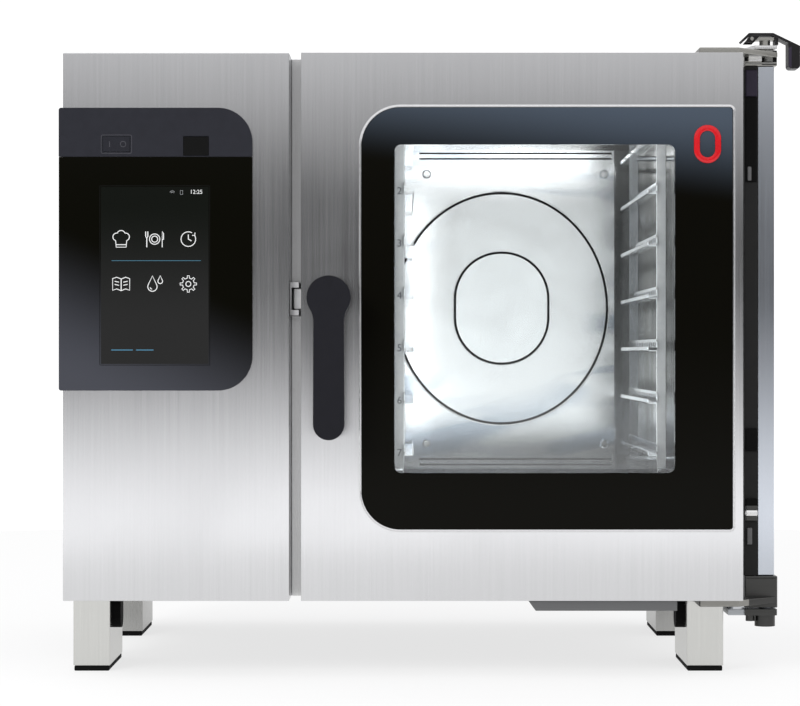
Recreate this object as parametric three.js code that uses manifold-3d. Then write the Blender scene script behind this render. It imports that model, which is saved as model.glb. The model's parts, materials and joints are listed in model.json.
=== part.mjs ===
// Table-top combi steamer oven with a slide-back door.
// Millimetres, +Z up. The front faces -Y. The origin is on the floor under the middle of the object.

import * as THREE from 'three';
import { mergeVertices } from 'three/addons/utils/BufferGeometryUtils.js';
import Module from 'manifold-3d';

const wasm = await Module();
wasm.setup();

// ---------------------------------------------------------------- driving dimensions

const GAP = 0.3; // clearance between pieces that touch
const SHEET = 2; // casing sheet
const CASE = { left: -466.3, right: 384, front: -341, rear: 376, base: 97.5, top: 786 };
const CONTROL_RIGHT = -182.4; // right edge of the control-side front panel
const COVER_FRONT = CASE.front + SHEET + GAP; // front edge of the cover and of the left side
const MOUTH_FRONT = -270; // front face of the frame around the oven mouth
const FRAME_THICK = 4;
const TRAY_HEIGHT = 34; // base frame

const DOOR = { left: -167.4, right: 387.7, front: -341, rear: -276, base: 97.5, top: 786 };
const GLASS = { left: -91.2, right: 374.4, base: 187.5, top: 717, thick: 5 };
const GLASS_CORNERS = [49, 4, 4, 49];
const WINDOW = { left: -58, right: 310, base: 250, top: 678 }; // hole in the inner door frame

const CAVITY = { left: -86, right: 338, base: 193, top: 737, rear: 327, corner: 18 };
const CAVITY_MIDDLE = (CAVITY.left + CAVITY.right) / 2;
const FAN = { x: 105.4, z: 475, radius: 140 };
const HEATER = { radius: 158, tube: 4.2, ends: [-14, 14], front: 272, pitch: 10.8 };
const SUCTION = { left: -20, right: 272, base: 240, top: 708, front: 247, thick: 2 };

const RACK = { front: -223, rear: 193, outer: -50.6, inner: -37.6, shelf: -25.6, base: 232, top: 716 };
const SHELF_LEVELS = 7;
const SHELF_PITCH = 68;
const TOP_SHELF = 688;

const FASCIA = { left: -471, right: -228.2, base: 361.6, split: 654.9, top: 716.2, corner: 43 };
const FASCIA_FRONT = -346;
const DISPLAY = { left: -418, right: -283, base: 395, top: 617 };
const SWITCH = { left: -415.6, right: -381.6, base: 661, top: 680 };
const USB = { left: -314.7, right: -283, base: 656.3, top: 679.7 };

const HANDLE = { x: -131.2, z: 477.3, head: 27.2, half: 19.3, end: 301, front: -396, back: -380 };
const BOLT = { tip: -177, end: -112, front: -326, rear: -304, base: 464, top: 490 };
const RAIL = { left: -111.7, right: 382.7, half: 8.2, depth: 16, y: -308.5, channel: 6 };

const PIVOT = { x: 427, y: -251 }; // upright axis of the door carrier
const POST = { left: 416.2, right: 437.6, base: 122.8, top: 777.2 };
const ARM = { left: 335, bend: 385, root: 399, right: 441, front: -320, heel: -268, rear: -240 };
const SHOE = { along: [345, 378], across: [RAIL.y - 5.5, RAIL.y + 5.5] };
const SPINDLE = 7; // radius of the pivot pins
const LEVER = { half: 13, cheek: 2.5 }; // half width along Y and the thickness of its side cheeks
const LEVER_PIN = { x: 409, z: 812.9, radius: 2.2 };

const FOOT = { width: 47, length: 150, wall: 3, pad: 6.5, lefts: [-463.3, 325.4], fronts: [-261, 159] };

const DRIP = { left: 118.8, right: 306, floor: 84, front: -330 }; // trough under the door
const DRAIN = { x: CAVITY_MIDDLE, y: 0, z: 150, outer: 16, inner: 13.5 };
const EXHAUST = { x: 40, y: 290, outer: 22, inner: 20, top: 818 };
const STEAM = { x: -300, y: 60, z: 640, outer: 12, inner: 10 };
const BOILER = { radius: 75, base: 150, top: 420, wall: 2 };
const BOARD = {
  left: -440, right: -240, base: 400, top: 620, face: -316,
  chips: [
    { x: -420, z: 420, size: 50, height: 22 },
    { x: -350, z: 430, size: 60, height: 14 },
    { x: -300, z: 540, size: 44, height: 30 },
    { x: -425, z: 560, size: 36, height: 18 },
  ],
};
const CONTACTORS = { lefts: [-440, -392, -344], width: 42, front: 225, rail: 293, base: 345, top: 425 };
const WATER_VALVES = { solenoid_valve_soft: -410, solenoid_valve_hard: -345 };
const SERVICE_Z = 190; // height of the water and mains connections
const SERVICE_REAR = 396; // where the water connections end behind the oven
const GLAND_X = -260;

// ---------------------------------------------------------------- finishes

const finish = (color, roughness, metalness) => (
  new THREE.MeshStandardMaterial({ color, roughness, metalness })
);
const STEEL = finish(0xb9babc, 0.35, 0.9);
const BRIGHT_STEEL = finish(0xd6d8da, 0.18, 1);
const DARK_STEEL = finish(0x5c6066, 0.4, 0.8);
const BLUE_STEEL = finish(0x8d99a6, 0.35, 0.8);
const BLACK_PAINT = finish(0x1b1b1e, 0.5, 0.1);
const SLATE = finish(0x2f3036, 0.45, 0.1);
const BLACK_GLASS = finish(0x06070a, 0.06, 0.1);
const CLEAR_GLASS = finish(0xdfe8ea, 0.05, 0);
const HANDLE_GREY = finish(0x26262c, 0.55, 0);
const RUBBER = finish(0x141414, 0.85, 0);
const WOOL = finish(0x9c8b62, 0.95, 0);
const BOARD_GREEN = finish(0x1d5c3a, 0.6, 0.1);
const BRASS = finish(0xb48a3c, 0.35, 0.9);
const MOTOR_GREY = finish(0x6f747a, 0.55, 0.4);

// ---------------------------------------------------------------- shape helpers

/** Box given by its ranges along X, Y and Z. */
function block([x0, x1], [y0, y1], [z0, z1]) {
  const box = new THREE.BoxGeometry(x1 - x0, y1 - y0, z1 - z0);
  return box.translate((x0 + x1) / 2, (y0 + y1) / 2, (z0 + z1) / 2);
}

/** Round bar along one axis, from one height on that axis to another, centred on the point given. */
function rod(axis, radius, [from, to], centre, sides = 16) {
  const bar = new THREE.CylinderGeometry(radius, radius, to - from, sides);
  if (axis === 'x') bar.rotateZ(Math.PI / 2);
  if (axis === 'z') bar.rotateX(Math.PI / 2);
  const at = new THREE.Vector3(...centre);
  at[axis] = (from + to) / 2;
  return bar.translate(at.x, at.y, at.z);
}

/** Rounded rectangle; radii are bottom left, bottom right, top right, top left. */
function roundedShape(left, right, base, top, radii) {
  const [bl, br, tr, tl] = Array.isArray(radii) ? radii : [radii, radii, radii, radii];
  const shape = new THREE.Shape();
  shape.moveTo(left + bl, base);
  shape.lineTo(right - br, base);
  if (br) shape.absarc(right - br, base + br, br, -Math.PI / 2, 0, false);
  shape.lineTo(right, top - tr);
  if (tr) shape.absarc(right - tr, top - tr, tr, 0, Math.PI / 2, false);
  shape.lineTo(left + tl, top);
  if (tl) shape.absarc(left + tl, top - tl, tl, Math.PI / 2, Math.PI, false);
  shape.lineTo(left, base + bl);
  if (bl) shape.absarc(left + bl, base + bl, bl, Math.PI, 1.5 * Math.PI, false);
  return shape;
}

/** Shape from a list of corners. */
const polygon = (points) => new THREE.Shape(points.map(([u, v]) => new THREE.Vector2(u, v)));

/** Shape drawn in X and Z, given thickness along Y. */
function upright(shape, [y0, y1], curveSegments = 5) {
  const plate = new THREE.ExtrudeGeometry(shape, { depth: y1 - y0, bevelEnabled: false, curveSegments });
  return plate.rotateX(Math.PI / 2).translate(0, y1, 0);
}

/** Shape drawn in X and Y, given thickness along Z. */
function flat(shape, [z0, z1]) {
  const plate = new THREE.ExtrudeGeometry(shape, { depth: z1 - z0, bevelEnabled: false });
  return plate.translate(0, 0, z0);
}

/** Pipe or solid bar swept along a curve. */
function sweep(curve, outer, inner, steps, sides = 12) {
  const curveSegments = sides / 2;
  const ring = new THREE.Shape().absarc(0, 0, outer, 0, 2 * Math.PI, false);
  if (inner) ring.holes.push(new THREE.Path().absarc(0, 0, inner, 0, 2 * Math.PI, true));
  return new THREE.ExtrudeGeometry(ring, { steps, curveSegments, extrudePath: curve });
}

/** Path from start to end with one bend of the given reach at the corner between them. */
function elbow(start, corner, end, bend) {
  const [from, turn, to] = [start, corner, end].map((point) => new THREE.Vector3(...point));
  const before = turn.clone().sub(from).setLength(bend);
  const after = to.clone().sub(turn).setLength(bend);
  const arrive = turn.clone().sub(before);
  const leave = turn.clone().add(after);
  const path = new THREE.CurvePath();
  path.add(new THREE.LineCurve3(from, arrive));
  path.add(new THREE.QuadraticBezierCurve3(arrive, turn, leave));
  path.add(new THREE.LineCurve3(leave, to));
  return path;
}

/** Closed solid of a geometry, or the solid itself. */
function solid(part) {
  if (part instanceof wasm.Manifold) return part;
  const bare = part.clone();
  bare.deleteAttribute('normal');
  bare.deleteAttribute('uv');
  const merged = mergeVertices(bare, 1e-3);
  const vertProperties = Float32Array.from(merged.attributes.position.array);
  const triVerts = Uint32Array.from(merged.index.array);
  return new wasm.Manifold(new wasm.Mesh({ numProp: 3, vertProperties, triVerts }));
}

const join = (...parts) => parts.map(solid).reduce((whole, part) => whole.add(part));
const cut = (base, ...tools) => tools.map(solid).reduce((whole, tool) => whole.subtract(tool), solid(base));

/** Geometry of a solid, or the geometry itself. */
function geometryOf(part) {
  if (part instanceof THREE.BufferGeometry) return part;
  const mesh = part.getMesh();
  const geometry = new THREE.BufferGeometry();
  geometry.setAttribute('position', new THREE.BufferAttribute(mesh.vertProperties, 3));
  geometry.setIndex(new THREE.BufferAttribute(mesh.triVerts, 1));
  const split = geometry.toNonIndexed();
  split.computeVertexNormals();
  return split;
}

const oven = new THREE.Group();
oven.name = 'combi_steamer_oven';

/** Adds one named piece to a group. */
function piece(name, part, material, group = oven) {
  const mesh = new THREE.Mesh(geometryOf(part), material);
  mesh.name = name;
  group.add(mesh);
}

// ---------------------------------------------------------------- casing

function baseFrame() {
  const rim = [CASE.base, CASE.base + TRAY_HEIGHT];
  const inside = [CASE.base + 4, CASE.base + TRAY_HEIGHT + 1];
  const side = [CASE.left + SHEET + GAP, CASE.right - SHEET - GAP];
  const rear = CASE.rear - SHEET - GAP;
  const control = [side[0], CONTROL_RIGHT - SHEET - GAP];
  const tray = join(
    block(side, [MOUTH_FRONT + 8, rear], rim),
    block(control, [COVER_FRONT, MOUTH_FRONT + 10], rim),
  );
  const hollow = join(
    block([side[0] + 3, side[1] - 3], [MOUTH_FRONT + 11, rear - 3], inside),
    block([control[0] + 3, control[1] - 3], [COVER_FRONT + 3, MOUTH_FRONT + 20], inside),
  );
  piece('base_frame', cut(tray, hollow), DARK_STEEL);
}

function sidePanels() {
  const height = [CASE.base, CASE.top - SHEET - GAP];
  piece('left_side_panel', block([CASE.left, CASE.left + SHEET], [COVER_FRONT, CASE.rear], height), STEEL);
  const right = block([CASE.right - SHEET, CASE.right], [MOUTH_FRONT + FRAME_THICK + GAP, CASE.rear], height);
  piece('right_side_panel', right, STEEL);
}

function topCover() {
  const outline = polygon([
    [CASE.left, COVER_FRONT],
    [CONTROL_RIGHT, COVER_FRONT],
    [CONTROL_RIGHT, MOUTH_FRONT + FRAME_THICK + GAP],
    [CASE.right, MOUTH_FRONT + FRAME_THICK + GAP],
    [CASE.right, CASE.rear],
    [CASE.left, CASE.rear],
  ]);
  const cover = flat(outline, [CASE.top - SHEET, CASE.top]);
  const hole = rod('z', EXHAUST.outer + 0.5, [CASE.top - 10, CASE.top + 10], [EXHAUST.x, EXHAUST.y, 0]);
  piece('top_cover', cut(cover, hole), STEEL);
}

function rearPanel() {
  const through = [CASE.rear - 10, CASE.rear + 10];
  const sheet = block(
    [CASE.left + SHEET + GAP, CASE.right - SHEET - GAP],
    [CASE.rear - SHEET, CASE.rear],
    [CASE.base + SHEET, CASE.top - SHEET - GAP],
  );
  const louvres = [];
  for (let row = 0; row < 6; row++) {
    const z = 560 + row * 24;
    louvres.push(block([-430, -230], through, [z, z + 8]));
  }
  const ports = Object.values(WATER_VALVES).map((x) => rod('y', 13.5, through, [x, 0, SERVICE_Z]));
  ports.push(rod('y', 12.5, through, [GLAND_X, 0, SERVICE_Z]));
  ports.push(rod('y', DRAIN.outer + 0.5, through, [DRAIN.x, 0, DRAIN.z]));
  piece('rear_panel', cut(sheet, ...louvres, ...ports), STEEL);
}

function controlFrontPanel() {
  const front = [CASE.front, CASE.front + SHEET];
  const through = [CASE.front - 5, CASE.front + 5];
  const sheet = join(
    block([CASE.left, CONTROL_RIGHT], front, [CASE.base, CASE.top - 1]),
    block([CONTROL_RIGHT - SHEET, CONTROL_RIGHT], [CASE.front, MOUTH_FRONT + 6], [CASE.base, CASE.top - 2.5]),
  );
  const openings = [
    block([DISPLAY.left - 20, DISPLAY.right + 20], through, [DISPLAY.base - 10, DISPLAY.top + 10]),
    block([SWITCH.left - 3, SWITCH.right + 3], through, [SWITCH.base - 3, SWITCH.top + 3]),
  ];
  piece('control_front_panel', cut(sheet, ...openings), STEEL);
}

function dividerPanel() {
  const sheet = block(
    [CONTROL_RIGHT - SHEET, CONTROL_RIGHT],
    [MOUTH_FRONT + 9, CASE.rear - SHEET - GAP],
    [CASE.base + TRAY_HEIGHT + GAP, CASE.top - SHEET - GAP],
  );
  const pipeHole = rod('x', STEAM.outer + 1, [CONTROL_RIGHT - 10, CONTROL_RIGHT + 10], [0, STEAM.y, STEAM.z]);
  piece('divider_panel', cut(sheet, pipeHole), STEEL);
}

function frontFrame() {
  const back = [MOUTH_FRONT, MOUTH_FRONT + FRAME_THICK];
  const plate = block([CONTROL_RIGHT + GAP, CASE.right], back, [CASE.base, CASE.top - 1]);
  const mouth = roundedShape(
    CAVITY.left - GAP, CAVITY.right + GAP, CAVITY.base - GAP, CAVITY.top + GAP, CAVITY.corner + GAP,
  );
  piece('front_frame', cut(plate, upright(mouth, [MOUTH_FRONT - 5, MOUTH_FRONT + 10])), STEEL);
}

/** Cutters for the two heater ends, through the rear wall and what lies behind it. */
function heaterHoles(radius) {
  const through = [CAVITY.rear - 10, CAVITY.rear + 12];
  return HEATER.ends.map((z) => rod('y', radius, through, [FAN.x + HEATER.radius, 0, FAN.z + z]));
}

function insulation() {
  const wool = block(
    [CONTROL_RIGHT + 1, CASE.right - SHEET - 1],
    [MOUTH_FRONT + FRAME_THICK + 1, CASE.rear - SHEET - 2],
    [CASE.base + 71, CASE.top - SHEET - 1],
  );
  const liner = roundedShape(
    CAVITY.left - 0.6, CAVITY.right + 0.6, CAVITY.base - 0.6, CAVITY.top + 0.6, CAVITY.corner,
  );
  const tools = [
    upright(liner, [MOUTH_FRONT - 5, CAVITY.rear + 0.6]),
    rod('y', 64, [CAVITY.rear - 5, CASE.rear], [FAN.x, 0, FAN.z], 32),
    rod('z', EXHAUST.outer + 1, [CAVITY.top - 5, CASE.top], [EXHAUST.x, EXHAUST.y, 0]),
    rod('z', DRAIN.outer + 8, [CASE.base, CAVITY.base + 2], [DRAIN.x, DRAIN.y, 0]),
    rod('x', STEAM.outer + 1, [CONTROL_RIGHT - 5, CAVITY.left + 5], [0, STEAM.y, STEAM.z]),
    ...heaterHoles(9),
  ];
  piece('insulation', cut(wool, ...tools), WOOL);
}

function dripTray() {
  const { left, right, floor, front } = DRIP;
  const rim = DOOR.base - 1.2;
  const depth = [front, MOUTH_FRONT + 7.5];
  const outer = polygon([[left, rim], [left + 9, floor], [right, floor], [right, rim]]);
  const inner = polygon([[left + 2, rim + 1], [left + 10, floor + 1.5], [right - 1.5, floor + 1.5],
    [right - 1.5, rim + 1]]);
  const trough = cut(upright(outer, depth), upright(inner, [depth[0] + 1.5, depth[1] - 1.5]));
  piece('drip_tray', trough, DARK_STEEL);
}

function feet() {
  const names = ['left', 'right'];
  FOOT.lefts.forEach((left, column) => {
    FOOT.fronts.forEach((front, row) => {
      const place = `${row ? 'rear' : 'front'}_${names[column]}`;
      const across = [left, left + FOOT.width];
      const along = [front, front + FOOT.length];
      const inset = ([low, high], by) => [low + by, high - by];
      const leg = cut(
        block(across, along, [FOOT.pad + GAP, CASE.base - GAP]),
        block(inset(across, FOOT.wall), inset(along, FOOT.wall), [0, CASE.base - 5]),
      );
      piece(`foot_${place}`, leg, BRIGHT_STEEL);
      piece(`foot_pad_${place}`, block(inset(across, 1), inset(along, 1), [0, FOOT.pad]), RUBBER);
    });
  });
}

// ---------------------------------------------------------------- cavity

function cavityLiner() {
  const outer = roundedShape(CAVITY.left, CAVITY.right, CAVITY.base, CAVITY.top, CAVITY.corner);
  const inner = roundedShape(
    CAVITY.left + SHEET, CAVITY.right - SHEET, CAVITY.base + SHEET, CAVITY.top - SHEET, CAVITY.corner - SHEET,
  );
  const rearWall = [CAVITY.rear - 10, CAVITY.rear + 10];
  const tools = [
    upright(inner, [MOUTH_FRONT - 5, CAVITY.rear - SHEET]),
    rod('z', DRAIN.outer + 1, [CAVITY.base - 5, CAVITY.base + 5], [DRAIN.x, DRAIN.y, 0]),
    rod('z', EXHAUST.inner, [CAVITY.top - 5, CAVITY.top + 5], [EXHAUST.x, EXHAUST.y, 0]),
    rod('x', STEAM.inner, [CAVITY.left - 5, CAVITY.left + 5], [0, STEAM.y, STEAM.z]),
    rod('y', 11, rearWall, [FAN.x, 0, FAN.z]),
    ...heaterHoles(7),
  ];
  piece('cavity_liner', cut(upright(outer, [MOUTH_FRONT, CAVITY.rear]), ...tools), BRIGHT_STEEL);
}

function doorGasket() {
  const ring = roundedShape(CAVITY.left - 14, CAVITY.right + 14, CAVITY.base - 14, CAVITY.top + 14, 30);
  ring.holes.push(new THREE.Path(
    roundedShape(CAVITY.left - 3, CAVITY.right + 3, CAVITY.base - 3, CAVITY.top + 3, 20).getPoints(5),
  ));
  piece('door_gasket', upright(ring, [DOOR.rear + GAP, MOUTH_FRONT - GAP]), RUBBER);
}

/** Ring between two ellipses around the fan axis, cut as a pressed groove. */
function ovalGroove(halfWidth, halfHeight, width, depthRange) {
  const ring = new THREE.Shape().absellipse(FAN.x, FAN.z, halfWidth, halfHeight, 0, 2 * Math.PI, false);
  const hole = new THREE.Path();
  hole.absellipse(FAN.x, FAN.z, halfWidth - width, halfHeight - width, 0, 2 * Math.PI, true);
  ring.holes.push(hole);
  return upright(ring, depthRange, 24);
}

function suctionPanel() {
  const { left, right, base, top, front, thick } = SUCTION;
  const parts = [
    block([left, right], [front, front + thick], [base, top]),
    block([left, left + thick], [front, front + 15], [base, top]),
    block([right - thick, right], [front, front + 15], [base, top]),
  ];
  for (const x of [left + 15, right - 15]) {
    for (const z of [base + 18, top - 18]) {
      parts.push(rod('y', 5, [front + 1, CAVITY.rear - SHEET - GAP], [x, 0, z], 12));
    }
  }
  const intake = rod('y', 60, [front - 5, front + 5], [FAN.x, 0, FAN.z], 32);
  const groove = ovalGroove(158, 172, 4, [front - 1, front + 1]);
  piece('suction_panel', cut(join(...parts), intake, groove), BRIGHT_STEEL);
}

function intakeBaffle() {
  const radius = 84;
  const flatHalf = 71.5;
  const start = Math.acos(flatHalf / radius);
  const outline = new THREE.Shape();
  outline.absarc(FAN.x, FAN.z, radius, start, Math.PI - start, false);
  outline.absarc(FAN.x, FAN.z, radius, Math.PI + start, 2 * Math.PI - start, false);
  const face = [SUCTION.front - 9, SUCTION.front - 7];
  const parts = [upright(outline, face, 12)];
  for (const angle of [45, 135, 225, 315].map(THREE.MathUtils.degToRad)) {
    const at = [FAN.x + 70 * Math.cos(angle), 0, FAN.z + 70 * Math.sin(angle)];
    parts.push(rod('y', 4, [face[0] + 1, SUCTION.front - GAP], at, 12));
  }
  piece('intake_baffle', join(...parts), BRIGHT_STEEL);
}

function fan() {
  const disc = [312, 314];
  const blades = 16;
  const parts = [
    rod('y', FAN.radius, disc, [FAN.x, 0, FAN.z], 36),
    rod('y', 22, [290, 313], [FAN.x, 0, FAN.z]),
    rod('y', 9, [286, 344], [FAN.x, 0, FAN.z]),
  ];
  for (let i = 0; i < blades; i++) {
    const blade = block([70, FAN.radius - 3], [266, 313], [-1, 1]);
    const turn = (i * 2 * Math.PI) / blades;
    parts.push(blade.rotateY(turn).translate(FAN.x, 0, FAN.z));
  }
  piece('fan_wheel', join(...parts), BRIGHT_STEEL);

  const body = join(
    rod('y', 58, [336, 370], [FAN.x, 0, FAN.z], 32),
    rod('y', 30, [CAVITY.rear + GAP, 337], [FAN.x, 0, FAN.z]),
  );
  piece('fan_motor', cut(body, rod('y', 10, [320, 350], [FAN.x, 0, FAN.z])), MOTOR_GREY);
}

function heatingElement() {
  // Two turns around the fan wheel, with both ends led out through the rear wall.
  const points = [];
  const outlet = CAVITY.rear + 6;
  const turns = 2;
  const steps = 48;
  const lead = 0.12; // angle between each end and the turns
  const clear = Math.asin(HEATER.ends[1] / HEATER.radius);
  points.push(new THREE.Vector3(FAN.x + HEATER.radius, outlet, FAN.z + HEATER.ends[1]));
  points.push(new THREE.Vector3(FAN.x + HEATER.radius, HEATER.front + 28, FAN.z + HEATER.ends[1]));
  for (let i = 0; i <= steps; i++) {
    const angle = clear + lead + (i / steps) * (turns * 2 * Math.PI - 2 * (clear + lead));
    const y = HEATER.front + HEATER.pitch * turns * (1 - i / steps);
    points.push(new THREE.Vector3(
      FAN.x + HEATER.radius * Math.cos(angle), y, FAN.z + HEATER.radius * Math.sin(angle),
    ));
  }
  points.push(new THREE.Vector3(FAN.x + HEATER.radius, HEATER.front + 20, FAN.z + HEATER.ends[0]));
  points.push(new THREE.Vector3(FAN.x + HEATER.radius, outlet, FAN.z + HEATER.ends[0]));
  piece('heating_element', sweep(new THREE.CatmullRomCurve3(points), HEATER.tube, 0, 70, 8), DARK_STEEL);
}

/** Left shelf rack; the right one is its mirror image about the middle of the cavity. */
function rack(name, mirror) {
  const across = (a, b) => (mirror
    ? [2 * CAVITY_MIDDLE - b, 2 * CAVITY_MIDDLE - a]
    : [a, b]);
  const parts = [];
  for (const front of [RACK.front, RACK.rear]) {
    parts.push(block(across(RACK.outer, RACK.inner), [front, front + 2], [RACK.base, RACK.top]));
    for (const z of [RACK.base + 24, RACK.top - 24]) {
      const pin = across(CAVITY.left + SHEET + GAP, RACK.inner - 2);
      parts.push(rod('x', 4, pin, [0, front + 1, z], 12));
    }
  }
  for (let level = 0; level < SHELF_LEVELS; level++) {
    const z = TOP_SHELF - level * SHELF_PITCH;
    const along = [RACK.front - 6, RACK.rear + 4];
    parts.push(block(across(RACK.inner - 1, RACK.inner + 0.5), along, [z - 5, z + 11]));
    parts.push(block(across(RACK.inner - 1, RACK.shelf), along, [z - 5, z - 3.5]));
    parts.push(block(across(RACK.shelf - 1.5, RACK.shelf), along, [z - 5, z + 1]));
  }
  piece(name, join(...parts), BRIGHT_STEEL);
}

function pipes() {
  const floor = CAVITY.base + SHEET;
  const dish = [[0, floor + GAP], [26, floor + GAP], [26, floor + 2], [18, floor + 5], [0, floor + 6]];
  const strainer = new THREE.LatheGeometry(dish.map(([r, z]) => new THREE.Vector2(r, z)), 24);
  piece('drain_strainer', strainer.rotateX(Math.PI / 2).translate(DRAIN.x, DRAIN.y, 0), BRIGHT_STEEL);

  const drop = elbow(
    [DRAIN.x, DRAIN.y, CAVITY.base - GAP], [DRAIN.x, DRAIN.y, DRAIN.z], [DRAIN.x, SERVICE_REAR, DRAIN.z], 30,
  );
  piece('drain_pipe', sweep(drop, DRAIN.outer, DRAIN.inner, 18), BRIGHT_STEEL);

  const height = [CAVITY.top + GAP, EXHAUST.top];
  const centre = [EXHAUST.x, EXHAUST.y, 0];
  const flue = join(
    rod('z', EXHAUST.outer, height, centre),
    rod('z', EXHAUST.outer + 9, [CASE.top + GAP, CASE.top + 2.5], centre),
  );
  const bore = rod('z', EXHAUST.inner, [CAVITY.top - 5, EXHAUST.top + 5], centre);
  piece('exhaust_pipe', cut(flue, bore), BRIGHT_STEEL);
}

// ---------------------------------------------------------------- control side

function steamGenerator() {
  const centre = [STEAM.x, STEAM.y, 0];
  const shell = join(
    rod('z', BOILER.radius, [BOILER.base, BOILER.top], centre, 32),
    rod('z', BOILER.radius + 8, [BOILER.top - 12, BOILER.top - 6], centre, 32),
    rod('z', 18, [BOILER.top - 2, BOILER.top + 12], centre),
    rod('z', 30, [CASE.base + 4 + GAP, BOILER.base + 2], centre),
  );
  const hollow = join(
    rod('z', BOILER.radius - BOILER.wall, [BOILER.base + BOILER.wall, BOILER.top - BOILER.wall], centre, 32),
    rod('z', STEAM.inner, [BOILER.top - 10, BOILER.top + 20], centre),
  );
  piece('steam_generator', cut(shell, hollow), BRIGHT_STEEL);

  const outlet = BOILER.top + 12 + GAP;
  const rise = elbow(
    [STEAM.x, STEAM.y, outlet], [STEAM.x, STEAM.y, STEAM.z], [CAVITY.left - GAP, STEAM.y, STEAM.z], 40,
  );
  piece('steam_pipe', sweep(rise, STEAM.outer, STEAM.inner, 14), BRIGHT_STEEL);
}

function controlBoard() {
  const { left, right, base, top, face, chips } = BOARD;
  const parts = [block([left, right], [face, face + 1.6], [base, top])];
  for (const { x, z, size, height } of chips) {
    parts.push(block([x, x + size], [face + 1, face + height], [z, z + size]));
  }
  piece('control_board', join(...parts), BOARD_GREEN);
}

function contactorRail() {
  const { lefts, width, front, rail, base, top } = CONTACTORS;
  const middle = (base + top) / 2;
  const span = [lefts[0] - 10, lefts.at(-1) + width + 2];
  const plate = block(span, [rail + 7, rail + 10], [base - 45, top + 45]);
  const bar = block([span[0] + 5, span[1] - 5], [rail, rail + 8], [middle - 19, middle + 16]);
  const blocks = lefts.map((x) => block([x, x + width], [front, rail + 1], [base, top]));
  piece('contactor_rail', join(plate, bar, ...blocks), MOTOR_GREY);
}

function waterValves() {
  for (const [name, x] of Object.entries(WATER_VALVES)) {
    const centre = [x, 0, SERVICE_Z];
    const valve = join(
      rod('y', 13, [340, SERVICE_REAR], centre),
      rod('y', 17, [CASE.rear + GAP, CASE.rear + 6], centre, 6),
      block([x - 16, x + 16], [300, 345], [SERVICE_Z - 15, SERVICE_Z + 15]),
      rod('z', 19, [SERVICE_Z + 14, SERVICE_Z + 60], [x, 322, 0]),
    );
    piece(name, cut(valve, rod('y', 9, [365, 400], centre)), BRASS);
  }
}

function cableGland() {
  const centre = [GLAND_X, 0, SERVICE_Z];
  const body = join(
    rod('y', 12, [CASE.rear - 12, CASE.rear + 16], centre),
    rod('y', 17, [CASE.rear + GAP, CASE.rear + 9], centre, 6),
  );
  piece('cable_gland', cut(body, rod('y', 7, [CASE.rear - 20, CASE.rear + 20], centre)), BLACK_PAINT);
}

function fascia() {
  const { left, right, base, split, top, corner } = FASCIA;
  const depth = [FASCIA_FRONT, CASE.front - GAP];
  const through = [FASCIA_FRONT - 5, CASE.front + 5];
  const band = upright(roundedShape(left, right, split, top, [0, 0, corner, 3]), depth, 10);
  const recess = [FASCIA_FRONT - 5, CASE.front - 2.3];
  piece('control_fascia', cut(
    band,
    block([SWITCH.left - GAP, SWITCH.right + GAP], through, [SWITCH.base - GAP, SWITCH.top + GAP]),
    block([USB.left - GAP, USB.right + GAP], recess, [USB.base - GAP, USB.top + 1]),
  ), SLATE);
  const glass = upright(roundedShape(left, right, base, split - GAP, [3, corner, 0, 0]), depth, 10);
  piece('touch_glass', glass, BLACK_GLASS);
  const behind = [CASE.front, CASE.front + 16];
  const panel = block([DISPLAY.left, DISPLAY.right], behind, [DISPLAY.base, DISPLAY.top]);
  piece('display_module', panel, SLATE);
  const key = [SWITCH.base, SWITCH.top];
  piece('power_switch', block([SWITCH.left, SWITCH.right], [FASCIA_FRONT - 1, CASE.front + 8], key), SLATE);
  const flap = block([USB.left, USB.right], [FASCIA_FRONT - 0.6, FASCIA_FRONT + 1.4], [USB.base, USB.top]);
  piece('usb_cover', flap, BLACK_PAINT);
}

// ---------------------------------------------------------------- door

function doorShell() {
  const { left, right, front, rear, base, top } = DOOR;
  const back = rear - SHEET - GAP;
  const opening = roundedShape(
    GLASS.left - 0.4, GLASS.right + 0.4, GLASS.base - 0.4, GLASS.top + 0.4, GLASS_CORNERS,
  );
  const slot = [RAIL.y - RAIL.half - GAP, RAIL.y + RAIL.half + GAP];
  const tools = [
    block([left + SHEET, right - SHEET], [front + SHEET, rear], [base + SHEET, top - SHEET]),
    upright(opening, [front - 5, front + 5], 10),
    block([RAIL.left - GAP, RAIL.right + GAP], slot, [top - 10, top + 5]),
    block([RAIL.left - GAP, RAIL.right + GAP], slot, [base - 5, base + 10]),
    rod('y', 7, [front - 5, front + 5], [HANDLE.x, 0, HANDLE.z]),
    block([left - 5, left + 5], [BOLT.front - 0.5, BOLT.rear + 0.5], [BOLT.base - 0.5, BOLT.top + 0.5]),
  ];
  piece('door_shell', cut(block([left, right], [front, back], [base, top]), ...tools), STEEL);

  const sheet = block([left, right], [rear - SHEET, rear], [base, top]);
  const hole = roundedShape(WINDOW.left, WINDOW.right, WINDOW.base, WINDOW.top, 12);
  piece('door_inner_frame', cut(sheet, upright(hole, [rear - 10, rear + 5], 6)), STEEL);
}

function doorGlass() {
  const outer = roundedShape(GLASS.left, GLASS.right, GLASS.base, GLASS.top, GLASS_CORNERS);
  piece('door_outer_glass', upright(outer, [DOOR.front, DOOR.front + GLASS.thick], 10), BLACK_GLASS);
  const inner = roundedShape(WINDOW.left - 14, WINDOW.right + 14, WINDOW.base - 14, WINDOW.top + 14, 10);
  const back = DOOR.rear - SHEET - GAP;
  piece('door_inner_glass', upright(inner, [back - GLASS.thick, back], 6), CLEAR_GLASS);
}

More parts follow.
